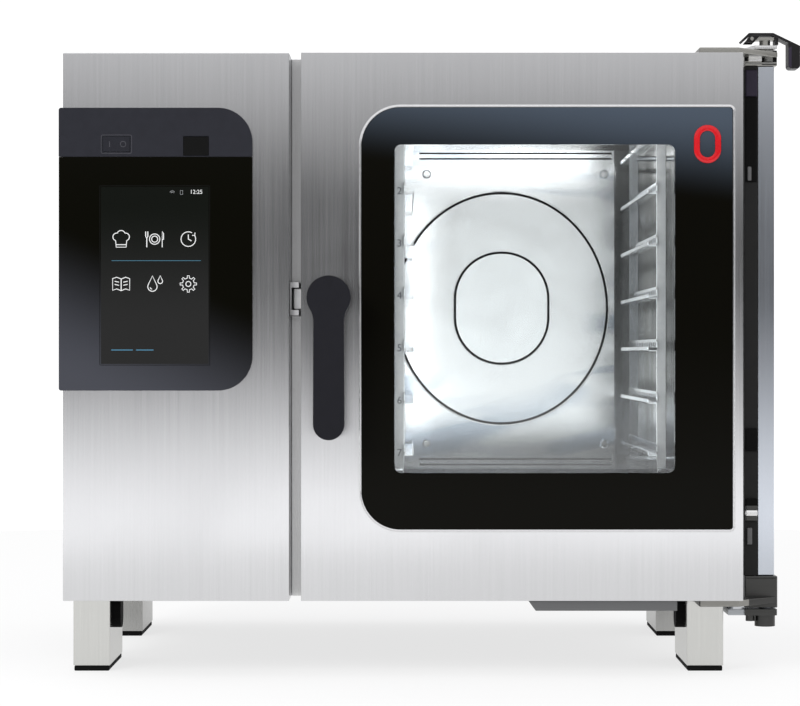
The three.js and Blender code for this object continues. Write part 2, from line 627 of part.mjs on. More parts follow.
/** Channel that a guide shoe runs in, let into the top or the bottom edge of the door. */
function guideRail(name, edge, inward) {
  const along = [RAIL.left, RAIL.right];
  const height = (from, to) => [edge + inward * from, edge + inward * to].sort((a, b) => a - b);
  const bar = block(along, [RAIL.y - RAIL.half, RAIL.y + RAIL.half], height(0.2, RAIL.depth));
  const channel = block(
    [RAIL.left + 2.5, RAIL.right - 2.5],
    [RAIL.y - RAIL.channel, RAIL.y + RAIL.channel],
    height(-2, RAIL.depth - 2.5),
  );
  piece(name, cut(bar, channel), DARK_STEEL);
}

function handle() {
  const { x, z, head, half, end, front, back } = HANDLE;
  const meet = Math.sqrt(head * head - half * half);
  const turn = Math.asin(half / head);
  const outline = new THREE.Shape();
  outline.moveTo(x + half, z - meet);
  outline.absarc(x, z, head, -Math.PI / 2 + turn, 1.5 * Math.PI - turn, false);
  outline.lineTo(x - half, end + half);
  outline.absarc(x, end + half, half, Math.PI, 2 * Math.PI, false);
  piece('door_handle', join(
    upright(outline, [front, back], 12),
    rod('y', 17, [back - 2, DOOR.front - 1], [x, 0, z], 32),
    rod('y', 6, [back, BOLT.rear + 2], [x, 0, z], 16),
  ), HANDLE_GREY);
}

function latch() {
  const housing = block([DOOR.left + SHEET + GAP, -94], [DOOR.front + SHEET + GAP, -298], [440, 515]);
  piece('latch_housing', cut(
    housing,
    block([DOOR.left, -98], [BOLT.front - 0.6, BOLT.rear + 0.6], [BOLT.base - 0.6, BOLT.top + 0.6]),
    rod('y', 7, [DOOR.front, BOLT.rear + 4], [HANDLE.x, 0, HANDLE.z]),
  ), DARK_STEEL);
  const bar = block([BOLT.tip, BOLT.end], [BOLT.front, BOLT.rear], [BOLT.base, BOLT.top]);
  const through = [BOLT.front - 5, BOLT.rear + 5];
  const slot = block([HANDLE.x - 19, HANDLE.x + 15], through, [BOLT.base + 5, BOLT.top - 5]);
  piece('latch_bolt', cut(bar, slot), BRIGHT_STEEL);

  const depth = [BOLT.front - 4, MOUTH_FRONT - GAP];
  const across = [CONTROL_RIGHT + 0.6, -170.5];
  piece('latch_catch', join(
    block([across[0], across[0] + 2], depth, [BOLT.base - 8, BOLT.top + 8]),
    block(across, depth, [BOLT.base - 8, BOLT.base - 1]),
    block(across, depth, [BOLT.top + 1, BOLT.top + 8]),
  ), DARK_STEEL);
}

// ---------------------------------------------------------------- slide-back hinge

/** Flat arm over or under the door, reaching from the pivot to the guide shoe. */
function armPlate(height) {
  const outline = polygon([
    [ARM.left, ARM.front], [ARM.bend, ARM.front], [ARM.right, ARM.heel], [ARM.right, ARM.rear],
    [ARM.root, ARM.rear], [ARM.root, ARM.heel], [ARM.left, ARM.heel],
  ]);
  return flat(outline, height);
}

function carrier() {
  const centre = [PIVOT.x, PIVOT.y, 0];
  const section = [PIVOT.y - 11, PIVOT.y + 11];
  const post = cut(
    block([POST.left, POST.right], section, [POST.base, POST.top]),
    block([POST.left + 2.5, POST.right - 2.5], [section[0] + 2.5, section[1] - 2.5], [0, 900]),
  );
  piece('hinge_post', post, BLUE_STEEL);

  const channel = [ARM.root, POST.left - GAP];
  piece('hinge_channel', cut(
    block(channel, [PIVOT.y - 15, PIVOT.y + 11], [POST.base, POST.top]),
    block([channel[0] + 2, channel[1] + 5], [PIVOT.y - 13, PIVOT.y + 9], [0, 900]),
  ), BLACK_PAINT);

  const knuckle = [ARM.root, ARM.right];
  const upper = join(
    armPlate([DOOR.top + 2, DOOR.top + 9]),
    block(knuckle, [PIVOT.y - 13, PIVOT.y + 12], [POST.top + GAP, 797.5]),
    block(SHOE.along, SHOE.across, [DOOR.top - 11, DOOR.top + 3]),
  );
  piece('upper_arm', cut(upper, rod('z', SPINDLE + 0.4, [700, 850], centre)), DARK_STEEL);

  const lower = join(
    armPlate([DOOR.base - 9.5, DOOR.base - 1]),
    block(knuckle, [PIVOT.y - 17, PIVOT.y + 15], [82, POST.base - GAP]),
    block(SHOE.along, SHOE.across, [DOOR.base - 2, DOOR.base + 11]),
  );
  piece('lower_arm', cut(lower, rod('z', SPINDLE + 0.4, [70, 112], centre)), DARK_STEEL);
}

function releaseLever() {
  const centre = [PIVOT.x, PIVOT.y, 0];
  const pinAt = [LEVER_PIN.x, 0, LEVER_PIN.z];
  piece('lever_mount', join(
    block([405, 438], [PIVOT.y - 8, PIVOT.y + 8], [811, 815]),
    rod('z', SPINDLE, [POST.top + 2, 812], centre),
    rod('y', LEVER_PIN.radius, [PIVOT.y - LEVER.half + 0.2, PIVOT.y + LEVER.half - 0.2], pinAt, 12),
  ), BRIGHT_STEEL);

  const bent = polygon([
    [395, 810.5], [405, 820], [436.3, 820], [471, 803.3], [471, 774.2], [455.6, 774.2],
    [455.6, 806.8], [435.3, 816.8], [406.5, 816.8], [397.2, 808.3],
  ]);
  const cheek = polygon([[401, 807.6], [419, 807.6], [422, 818], [404, 818]]);
  const edges = [PIVOT.y - LEVER.half, PIVOT.y + LEVER.half];
  const lever = join(
    upright(bent, edges),
    upright(cheek, [edges[0], edges[0] + LEVER.cheek]),
    upright(cheek, [edges[1] - LEVER.cheek, edges[1]]),
  );
  const bore = rod('y', LEVER_PIN.radius + 0.3, [edges[0] - 5, edges[1] + 5], pinAt, 12);
  piece('release_lever', cut(lever, bore), BLACK_PAINT);
}

function hingeBrackets() {
  const centre = [PIVOT.x, PIVOT.y, 0];
  // The nose stays inside the circle that the lever's grip travels on.
  const nose = polygon([
    [368, -228], [368, -196], [396, -196], [412, -226], [433, -226], [441, -236], [441, -264], [413, -264],
    [400, -228],
  ]);
  const upper = join(
    flat(nose, [799, 804]),
    block([368, 383], [-228, -196], [CASE.top + GAP, 800]),
  );
  piece('upper_bracket', cut(upper, rod('z', SPINDLE + 0.6, [780, 850], centre)), BLUE_STEEL);

  piece('lower_bracket', join(
    block([378, ARM.right], [-265, -180], [72, 80]),
    block([CASE.right + GAP, CASE.right + 4.3], [-234, -180], [72, 140]),
    rod('z', 12.9, [57, 73], centre),
    rod('z', SPINDLE, [79, 111], centre),
  ), BLUE_STEEL);
}

// ---------------------------------------------------------------- assembly

baseFrame();
sidePanels();
topCover();
rearPanel();
controlFrontPanel();
dividerPanel();
frontFrame();
insulation();
dripTray();
feet();

cavityLiner();
doorGasket();
suctionPanel();
intakeBaffle();
fan();
heatingElement();
rack('left_rack', false);
rack('right_rack', true);
pipes();

steamGenerator();
controlBoard();
contactorRail();
waterValves();
cableGland();
fascia();

doorShell();
doorGlass();
guideRail('door_top_rail', DOOR.top, -1);
guideRail('door_bottom_rail', DOOR.base, 1);
handle();
latch();

carrier();
releaseLever();
hingeBrackets();

export default oven;
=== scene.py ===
"""Looks of a table-top combi steamer oven with a slide-back door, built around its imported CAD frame."""

import json
import logging
import math
from collections.abc import Callable, Iterable, Sequence
from dataclasses import dataclass, field
from enum import Enum

import bmesh
import bpy
from mathutils import Matrix, Vector


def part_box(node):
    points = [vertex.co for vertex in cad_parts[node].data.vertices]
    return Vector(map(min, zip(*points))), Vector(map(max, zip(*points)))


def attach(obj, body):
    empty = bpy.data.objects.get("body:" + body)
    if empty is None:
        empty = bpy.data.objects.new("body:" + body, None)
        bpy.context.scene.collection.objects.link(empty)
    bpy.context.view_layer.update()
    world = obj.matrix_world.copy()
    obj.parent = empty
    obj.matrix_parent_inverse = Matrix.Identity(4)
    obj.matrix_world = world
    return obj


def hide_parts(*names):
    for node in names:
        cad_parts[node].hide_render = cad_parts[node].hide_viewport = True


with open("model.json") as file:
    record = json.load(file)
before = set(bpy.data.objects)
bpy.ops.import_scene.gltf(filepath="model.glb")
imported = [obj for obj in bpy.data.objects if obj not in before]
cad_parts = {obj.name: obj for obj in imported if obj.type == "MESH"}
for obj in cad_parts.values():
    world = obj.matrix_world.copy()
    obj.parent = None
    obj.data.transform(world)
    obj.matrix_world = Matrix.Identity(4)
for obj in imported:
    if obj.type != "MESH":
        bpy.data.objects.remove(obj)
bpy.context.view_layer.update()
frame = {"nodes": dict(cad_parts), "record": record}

FAN_AXIS = (0.1054, 0.475)
LOG = logging.getLogger("oven")

Point = tuple[float, float, float]
Loop = list[tuple[float, float]]

BODY_OF = {
    node: body for body, nodes in frame["record"]["behaviour"]["bodies"].items() for node in nodes
}


class Axis(Enum):
    """A direction of the oven's frame."""

    X = (1.0, 0.0, 0.0)
    Y = (0.0, 1.0, 0.0)
    Z = (0.0, 0.0, 1.0)


# ---------------------------------------------------------------- shader groups


class Nodes:
    """A small hand for wiring a node tree."""

    def __init__(self, tree: bpy.types.NodeTree) -> None:
        """Args: tree: the node tree that gets the nodes."""
        self.tree = tree

    def add(self, kind: str, **values: object) -> bpy.types.Node:
        """Adds a node.

        Args:
            kind: the node's type name.
            **values: attributes of the node to set.

        Returns:
            The new node.
        """
        node = self.tree.nodes.new(kind)
        for name, value in values.items():
            setattr(node, name, value)
        return node

    def link(self, source: bpy.types.NodeSocket, target: bpy.types.NodeSocket) -> None:
        """Joins an output socket to an input socket."""
        self.tree.links.new(source, target)

    def math(self, operation: str, first: object, second: object) -> bpy.types.NodeSocket:
        """Adds a Math node.

        Args:
            operation: what it works out, such as MULTIPLY.
            first: a socket or a number.
            second: a socket or a number.

        Returns:
            The node's output socket.
        """
        node = self.add("ShaderNodeMath", operation=operation)
        for slot, value in zip(node.inputs, (first, second)):
            if isinstance(value, bpy.types.NodeSocket):
                self.link(value, slot)
            else:
                slot.default_value = value
        return node.outputs[0]

    def noise(self, vector: bpy.types.NodeSocket, scale: float, detail: float = 3.0) -> bpy.types.NodeSocket:
        """Adds a noise texture and returns its value socket."""
        node = self.add("ShaderNodeTexNoise")
        self.link(vector, node.inputs["Vector"])
        node.inputs["Scale"].default_value = scale
        node.inputs["Detail"].default_value = detail
        return node.outputs["Fac"]


def shader_group(name: str, inputs: dict[str, float], outputs: Iterable[str]) -> bpy.types.NodeTree:
    """Makes an empty node group.

    Args:
        name: the group's name.
        inputs: names and default values of its numbers.
        outputs: names of the numbers that it puts out.

    Returns:
        The group, with its input and output nodes named "in" and "out".
    """
    tree = bpy.data.node_groups.new(name, "ShaderNodeTree")
    for label, value in inputs.items():
        socket = tree.interface.new_socket(label, in_out="INPUT", socket_type="NodeSocketFloat")
        socket.default_value = value
    for label in outputs:
        tree.interface.new_socket(label, in_out="OUTPUT", socket_type="NodeSocketFloat")
    tree.nodes.new("NodeGroupInput").name = "in"
    tree.nodes.new("NodeGroupOutput").name = "out"
    return tree


def stretched_coordinates(wire: Nodes, stretch: Point) -> bpy.types.NodeSocket:
    """Object coordinates drawn out along an axis, so that a noise on them runs in lines."""
    place = wire.add("ShaderNodeTexCoord").outputs["Object"]
    mapping = wire.add("ShaderNodeMapping")
    mapping.inputs["Scale"].default_value = stretch
    wire.link(place, mapping.inputs["Vector"])
    return mapping.outputs["Vector"]


def build_brushed_grain(axis: Axis) -> bpy.types.NodeTree:
    """Fine parallel grinding lines of brushed sheet.

    Args:
        axis: the direction that the lines run in.

    Returns:
        A group that puts out a tone from 0 to 1 and a height.
    """
    tree = shader_group(f"brushed_grain_{axis.name.lower()}", {"Softness": 0.5}, ("Tone", "Height"))
    wire = Nodes(tree)
    fine = tuple(9.0 if along else 1400.0 for along in axis.value)
    broad = tuple(2.5 if along else 260.0 for along in axis.value)
    lines = wire.noise(stretched_coordinates(wire, fine), 1.0, 4.0)
    bands = wire.noise(stretched_coordinates(wire, broad), 1.0, 3.0)
    mixed = wire.add("ShaderNodeMix", data_type="FLOAT")
    wire.link(tree.nodes["in"].outputs["Softness"], mixed.inputs[0])
    wire.link(lines, mixed.inputs[2])
    wire.link(bands, mixed.inputs[3])
    wire.link(mixed.outputs[0], tree.nodes["out"].inputs["Tone"])
    wire.link(lines, tree.nodes["out"].inputs["Height"])
    return tree


def build_smudges() -> bpy.types.NodeTree:
    """Faint broad patches where a wiped surface shines a little more or less."""
    tree = shader_group("smudges", {"Size": 4.0}, ("Mask",))
    wire = Nodes(tree)
    place = wire.add("ShaderNodeTexCoord").outputs["Object"]
    noise = wire.add("ShaderNodeTexNoise")
    noise.inputs["Detail"].default_value = 5.0
    noise.inputs["Distortion"].default_value = 0.6
    wire.link(place, noise.inputs["Vector"])
    wire.link(tree.nodes["in"].outputs["Size"], noise.inputs["Scale"])
    wire.link(noise.outputs["Fac"], tree.nodes["out"].inputs["Mask"])
    return tree


def build_fine_texture() -> bpy.types.NodeTree:
    """Tiny even roughness of moulded plastic, rubber or cast paint."""
    tree = shader_group("fine_texture", {"Scale": 900.0}, ("Height", "Mottle"))
    wire = Nodes(tree)
    place = wire.add("ShaderNodeTexCoord").outputs["Object"]
    for label, share in (("Height", 1.0), ("Mottle", 0.12)):
        noise = wire.add("ShaderNodeTexNoise")
        noise.inputs["Detail"].default_value = 2.0
        wire.link(place, noise.inputs["Vector"])
        wire.link(wire.math("MULTIPLY", tree.nodes["in"].outputs["Scale"], share), noise.inputs["Scale"])
        wire.link(noise.outputs["Fac"], tree.nodes["out"].inputs[label])
    return tree


def build_edge_wear() -> bpy.types.NodeTree:
    """Mask of edges and corners rubbed bright, broken up so that it isn't an even line."""
    tree = shader_group("edge_wear", {"Width": 0.0012}, ("Mask",))
    wire = Nodes(tree)
    bevel = wire.add("ShaderNodeBevel", samples=4)
    wire.link(tree.nodes["in"].outputs["Width"], bevel.inputs["Radius"])
    flat = wire.add("ShaderNodeNewGeometry").outputs["Normal"]
    likeness = wire.add("ShaderNodeVectorMath", operation="DOT_PRODUCT")
    wire.link(bevel.outputs["Normal"], likeness.inputs[0])
    wire.link(flat, likeness.inputs[1])
    edge = wire.math("SUBTRACT", 1.0, likeness.outputs["Value"])
    place = wire.add("ShaderNodeTexCoord").outputs["Object"]
    broken = wire.math("MULTIPLY", edge, wire.math("MULTIPLY", wire.noise(place, 60.0), 5.0))
    clamp = wire.add("ShaderNodeClamp")
    wire.link(broken, clamp.inputs["Value"])
    wire.link(clamp.outputs["Result"], tree.nodes["out"].inputs["Mask"])
    return tree


GROUPS: dict[str, bpy.types.NodeTree] = {}


def build_groups() -> None:
    """Makes every shader group once."""
    for axis in Axis:
        group = build_brushed_grain(axis)
        GROUPS[group.name] = group
    for group in (build_smudges(), build_fine_texture(), build_edge_wear()):
        GROUPS[group.name] = group


# ---------------------------------------------------------------- finishes


def new_material(name: str) -> tuple[bpy.types.Material, Nodes, bpy.types.Node]:
    """Makes a material with one Principled shader.

    Args:
        name: the material's name.

    Returns:
        The material, a hand for its nodes, and the shader node.
    """
    material = bpy.data.materials.new(name)
    material.use_nodes = True
    wire = Nodes(material.node_tree)
    shader = material.node_tree.nodes["Principled BSDF"]
    return material, wire, shader


def place_group(wire: Nodes, name: str, **values: float) -> bpy.types.Node:
    """Puts a shader group into a material and sets its numbers."""
    node = wire.add("ShaderNodeGroup")
    node.node_tree = GROUPS[name]
    for label, value in values.items():
        node.inputs[label].default_value = value
    return node


def shade_between(wire: Nodes, mask: bpy.types.NodeSocket, low: Point, high: Point) -> bpy.types.NodeSocket:
    """Colour that goes from one to another as a mask goes from 0 to 1."""
    mix = wire.add("ShaderNodeMix", data_type="RGBA")
    wire.link(mask, mix.inputs[0])
    mix.inputs[6].default_value = (*low, 1.0)
    mix.inputs[7].default_value = (*high, 1.0)
    return mix.outputs[2]


def spread(wire: Nodes, mask: bpy.types.NodeSocket, middle: float, swing: float) -> bpy.types.NodeSocket:
    """Number that moves around a middle value as a mask moves around a half."""
    node = wire.add("ShaderNodeMapRange")
    wire.link(mask, node.inputs["Value"])
    node.inputs["From Min"].default_value = 0.25
    node.inputs["From Max"].default_value = 0.75
    node.inputs["To Min"].default_value = middle - swing
    node.inputs["To Max"].default_value = middle + swing
    return node.outputs["Result"]


def bump(wire: Nodes, height: bpy.types.NodeSocket, shader: bpy.types.Node, depth: float) -> None:
    """Feeds a height, in metres once multiplied by depth, to a shader's normal."""
    node = wire.add("ShaderNodeBump")
    node.inputs["Strength"].default_value = 1.0
    node.inputs["Distance"].default_value = depth
    wire.link(height, node.inputs["Height"])
    wire.link(node.outputs["Normal"], shader.inputs["Normal"])


def scaled(color: Point, share: float) -> Point:
    """Colour made lighter or darker."""
    return tuple(min(1.0, channel * share) for channel in color)


@dataclass(frozen=True)
class BrushedMetal:
    """Sheet metal with grinding lines along one axis."""

    name: str
    color: Point
    roughness: float = 0.3
    grain: Axis = Axis.Z
    contrast: float = 0.05
    depth: float = 0.00001
    anisotropy: float = 0.6
    wear: float = 0.0

    def material(self) -> bpy.types.Material:
        """Builds the material."""
        material, wire, shader = new_material(self.name)
        lines = place_group(wire, f"brushed_grain_{self.grain.name.lower()}", Softness=0.4)
        patches = place_group(wire, "smudges", Size=5.0)
        low, high = scaled(self.color, 1 - self.contrast), scaled(self.color, 1 + self.contrast)
        tone = shade_between(wire, spread(wire, lines.outputs["Tone"], 0.5, 0.5), low, high)
        if self.wear:
            rubbed = place_group(wire, "edge_wear", Width=0.0015)
            amount = wire.math("MULTIPLY", rubbed.outputs["Mask"], self.wear)
            mix = wire.add("ShaderNodeMix", data_type="RGBA")
            wire.link(amount, mix.inputs[0])
            wire.link(tone, mix.inputs[6])
            mix.inputs[7].default_value = (*scaled(self.color, 1.35), 1.0)
            tone = mix.outputs[2]
        wire.link(tone, shader.inputs["Base Color"])
        uneven = wire.math("ADD", lines.outputs["Tone"], patches.outputs["Mask"])
        half = wire.math("MULTIPLY", uneven, 0.5)
        wire.link(spread(wire, half, self.roughness, 0.05), shader.inputs["Roughness"])
        shader.inputs["Metallic"].default_value = 1.0
        shader.inputs["Anisotropic"].default_value = self.anisotropy
        if self.anisotropy:
            tangent = wire.add("ShaderNodeTangent", direction_type="RADIAL", axis=self.grain.name)
            wire.link(tangent.outputs["Tangent"], shader.inputs["Tangent"])
        bump(wire, lines.outputs["Height"], shader, self.depth)
        return material


@dataclass(frozen=True)
class PolishedMetal:
    """Bright sheet whose slight waves bend what it reflects, with long streaks of painted reflection laid
    into its colour where asked for.
    """

    name: str
    color: Point
    roughness: float = 0.1
    wave: float = 0.0012
    wave_size: float = 4.5
    reflection_tint: Point = (0.8, 0.8, 0.8)
    stretch: Point = (1.0, 1.0, 1.0)
    reflection_streaks: float = 0.0

    def material(self) -> bpy.types.Material:
        """Builds the material."""
        material, wire, shader = new_material(self.name)
        patches = place_group(wire, "smudges", Size=9.0)
        low, high = scaled(self.color, 0.93), scaled(self.color, 1.05)
        tone = shade_between(wire, patches.outputs["Mask"], low, high)
        # Painted reflection: streaks of a second colour mixed into the base colour.
        if self.reflection_streaks:
            tone = self.add_painted_reflection_streaks(wire, tone)
        wire.link(tone, shader.inputs["Base Color"])
        wire.link(spread(wire, patches.outputs["Mask"], self.roughness, 0.035), shader.inputs["Roughness"])
        shader.inputs["Metallic"].default_value = 1.0
        place = wire.add("ShaderNodeTexCoord").outputs["Object"]
        bump(wire, wire.noise(place, self.wave_size, 1.0), shader, self.wave)
        return material

    def add_painted_reflection_streaks(self, wire: Nodes, tone: bpy.types.NodeSocket) -> bpy.types.NodeSocket:
        """Lays long soft streaks of painted reflection, in a second colour, over the metal's own colour,
        away from the fan's axis.
        """
        noise = wire.add("ShaderNodeTexNoise")
        wire.link(stretched_coordinates(wire, self.stretch), noise.inputs["Vector"])
        noise.inputs["Scale"].default_value = 1.0
        noise.inputs["Detail"].default_value = 1.5
        noise.inputs["Distortion"].default_value = 1.4
        ramp = wire.add("ShaderNodeMapRange", interpolation_type="SMOOTHSTEP")
        wire.link(noise.outputs["Fac"], ramp.inputs["Value"])
        ramp.inputs["From Min"].default_value = 0.48
        ramp.inputs["From Max"].default_value = 0.62
        ramp.inputs["To Max"].default_value = self.reflection_streaks
        place = wire.add("ShaderNodeTexCoord").outputs["Object"]
        off_axis = wire.add("ShaderNodeVectorMath", operation="MULTIPLY_ADD")
        wire.link(place, off_axis.inputs[0])
        off_axis.inputs[1].default_value = (1.0, 0.0, 1.0)
        off_axis.inputs[2].default_value = (-FAN_AXIS[0], 0.0, -FAN_AXIS[1])
        length = wire.add("ShaderNodeVectorMath", operation="LENGTH")
        wire.link(off_axis.outputs[0], length.inputs[0])
        outside = wire.add("ShaderNodeMapRange", interpolation_type="SMOOTHSTEP")
        wire.link(length.outputs["Value"], outside.inputs["Value"])
        outside.inputs["From Min"].default_value = 0.11
        outside.inputs["From Max"].default_value = 0.19
        mix = wire.add("ShaderNodeMix", data_type="RGBA")
        wire.link(wire.math("MULTIPLY", ramp.outputs["Result"], outside.outputs["Result"]), mix.inputs[0])
        wire.link(tone, mix.inputs[6])
        mix.inputs[7].default_value = (*self.reflection_tint, 1.0)
        return mix.outputs[2]


@dataclass(frozen=True)
class Moulding:
    """Plastic, rubber or paint with a fine even texture."""

    name: str
    color: Point
    roughness: float = 0.45
    texture: float = 900.0
    shine: float = 0.12
    depth: float = 0.00002
    metallic: float = 0.0
    coat: float = 0.0
    wear: float = 0.0

    def material(self) -> bpy.types.Material:
        """Builds the material."""
        material, wire, shader = new_material(self.name)
        fine = place_group(wire, "fine_texture", Scale=self.texture)
        low, high = scaled(self.color, 0.86), scaled(self.color, 1.14)
        tone = shade_between(wire, fine.outputs["Mottle"], low, high)
        if self.wear:
            rubbed = place_group(wire, "edge_wear", Width=0.0012)
            amount = wire.math("MULTIPLY", rubbed.outputs["Mask"], self.wear)
            mix = wire.add("ShaderNodeMix", data_type="RGBA")
            wire.link(amount, mix.inputs[0])
            wire.link(tone, mix.inputs[6])
            mix.inputs[7].default_value = (0.32, 0.32, 0.33, 1.0)
            tone = mix.outputs[2]
        wire.link(tone, shader.inputs["Base Color"])
        patches = place_group(wire, "smudges", Size=14.0)
        wire.link(spread(wire, patches.outputs["Mask"], self.roughness, 0.06), shader.inputs["Roughness"])
        shader.inputs["Metallic"].default_value = self.metallic
        shader.inputs["Specular IOR Level"].default_value = self.shine
        shader.inputs["Coat Weight"].default_value = self.coat
        shader.inputs["Coat Roughness"].default_value = 0.08
        bump(wire, fine.outputs["Height"], shader, self.depth)
        return material


def fade_mask(wire: Nodes, slope: Point, start: float, end: float) -> bpy.types.NodeSocket:
    """Number that goes from 0 to 1 along a direction through the oven.

    Args:
        wire: a hand for the material's nodes.
        slope: the direction, and how much each metre along it counts.
        start: the distance along it where the number leaves 0.
        end: the distance where it reaches 1.

    Returns:
        The number's socket.
    """
    place = wire.add("ShaderNodeTexCoord").outputs["Object"]
    along = wire.add("ShaderNodeVectorMath", operation="DOT_PRODUCT")
    wire.link(place, along.inputs[0])
    along.inputs[1].default_value = slope
    ramp = wire.add("ShaderNodeMapRange", interpolation_type="SMOOTHSTEP")
    wire.link(along.outputs["Value"], ramp.inputs["Value"])
    ramp.inputs["From Min"].default_value = start
    ramp.inputs["From Max"].default_value = end
    return ramp.outputs["Result"]


@dataclass(frozen=True)
class BackedGlass:
    """Toughened glass with a dark print behind it, paler towards one side; the paler colour is a painted
    reflection.
    """

    name: str
    color: Point
    reflection_color: Point
    slope: Point
    start: float
    end: float
    roughness: float = 0.05

    def material(self) -> bpy.types.Material:
        """Builds the material."""
        material, wire, shader = new_material(self.name)
        patches = place_group(wire, "smudges", Size=3.0)
        # Painted reflection: the colour turns paler along a direction across the glass.
        reflection_mask = fade_mask(wire, self.slope, self.start, self.end)
        uneven = wire.math("MULTIPLY", reflection_mask, spread(wire, patches.outputs["Mask"], 0.95, 0.05))
        wire.link(shade_between(wire, uneven, self.color, self.reflection_color), shader.inputs["Base Color"])
        wire.link(spread(wire, patches.outputs["Mask"], self.roughness, 0.02), shader.inputs["Roughness"])
        shader.inputs["Specular IOR Level"].default_value = 0.035
        return material


@dataclass(frozen=True)
class ClearGlass:
    """See-through pane with the faintest haze of use."""

    name: str
    color: Point = (0.97, 0.99, 0.99)

    def material(self) -> bpy.types.Material:
        """Builds the material."""
        material, wire, shader = new_material(self.name)
        patches = place_group(wire, "smudges", Size=6.0)
        low, high = scaled(self.color, 0.985), self.color
        wire.link(shade_between(wire, patches.outputs["Mask"], low, high), shader.inputs["Base Color"])
        wire.link(spread(wire, patches.outputs["Mask"], 0.012, 0.008), shader.inputs["Roughness"])
        shader.inputs["IOR"].default_value = 1.45
        shader.inputs["Transmission Weight"].default_value = 1.0
        return material


@dataclass(frozen=True)
class LitMark:
    """Mark on the screen that shines by itself, a little uneven like a lit panel."""

    name: str
    color: Point
    strength: float = 1.0

    def material(self) -> bpy.types.Material:
        """Builds the material."""
        material, wire, shader = new_material(self.name)
        cells = place_group(wire, "fine_texture", Scale=2500.0)
        low, high = scaled(self.color, 0.9), self.color
        glow = shade_between(wire, cells.outputs["Height"], low, high)
        wire.link(glow, shader.inputs["Emission Color"])
        shader.inputs["Emission Strength"].default_value = self.strength
        shader.inputs["Base Color"].default_value = (0.02, 0.02, 0.02, 1.0)
        shader.inputs["Roughness"].default_value = 0.6
        return material


@dataclass(frozen=True)
class Wool:
    """Pressed mineral fibre."""

    name: str
    color: Point

    def material(self) -> bpy.types.Material:
        """Builds the material."""
        material, wire, shader = new_material(self.name)
        place = wire.add("ShaderNodeTexCoord").outputs["Object"]
        fibres = wire.noise(place, 220.0, 8.0)
        low, high = scaled(self.color, 0.6), scaled(self.color, 1.3)
        wire.link(shade_between(wire, fibres, low, high), shader.inputs["Base Color"])
        shader.inputs["Roughness"].default_value = 0.95
        bump(wire, fibres, shader, 0.001)
        return material


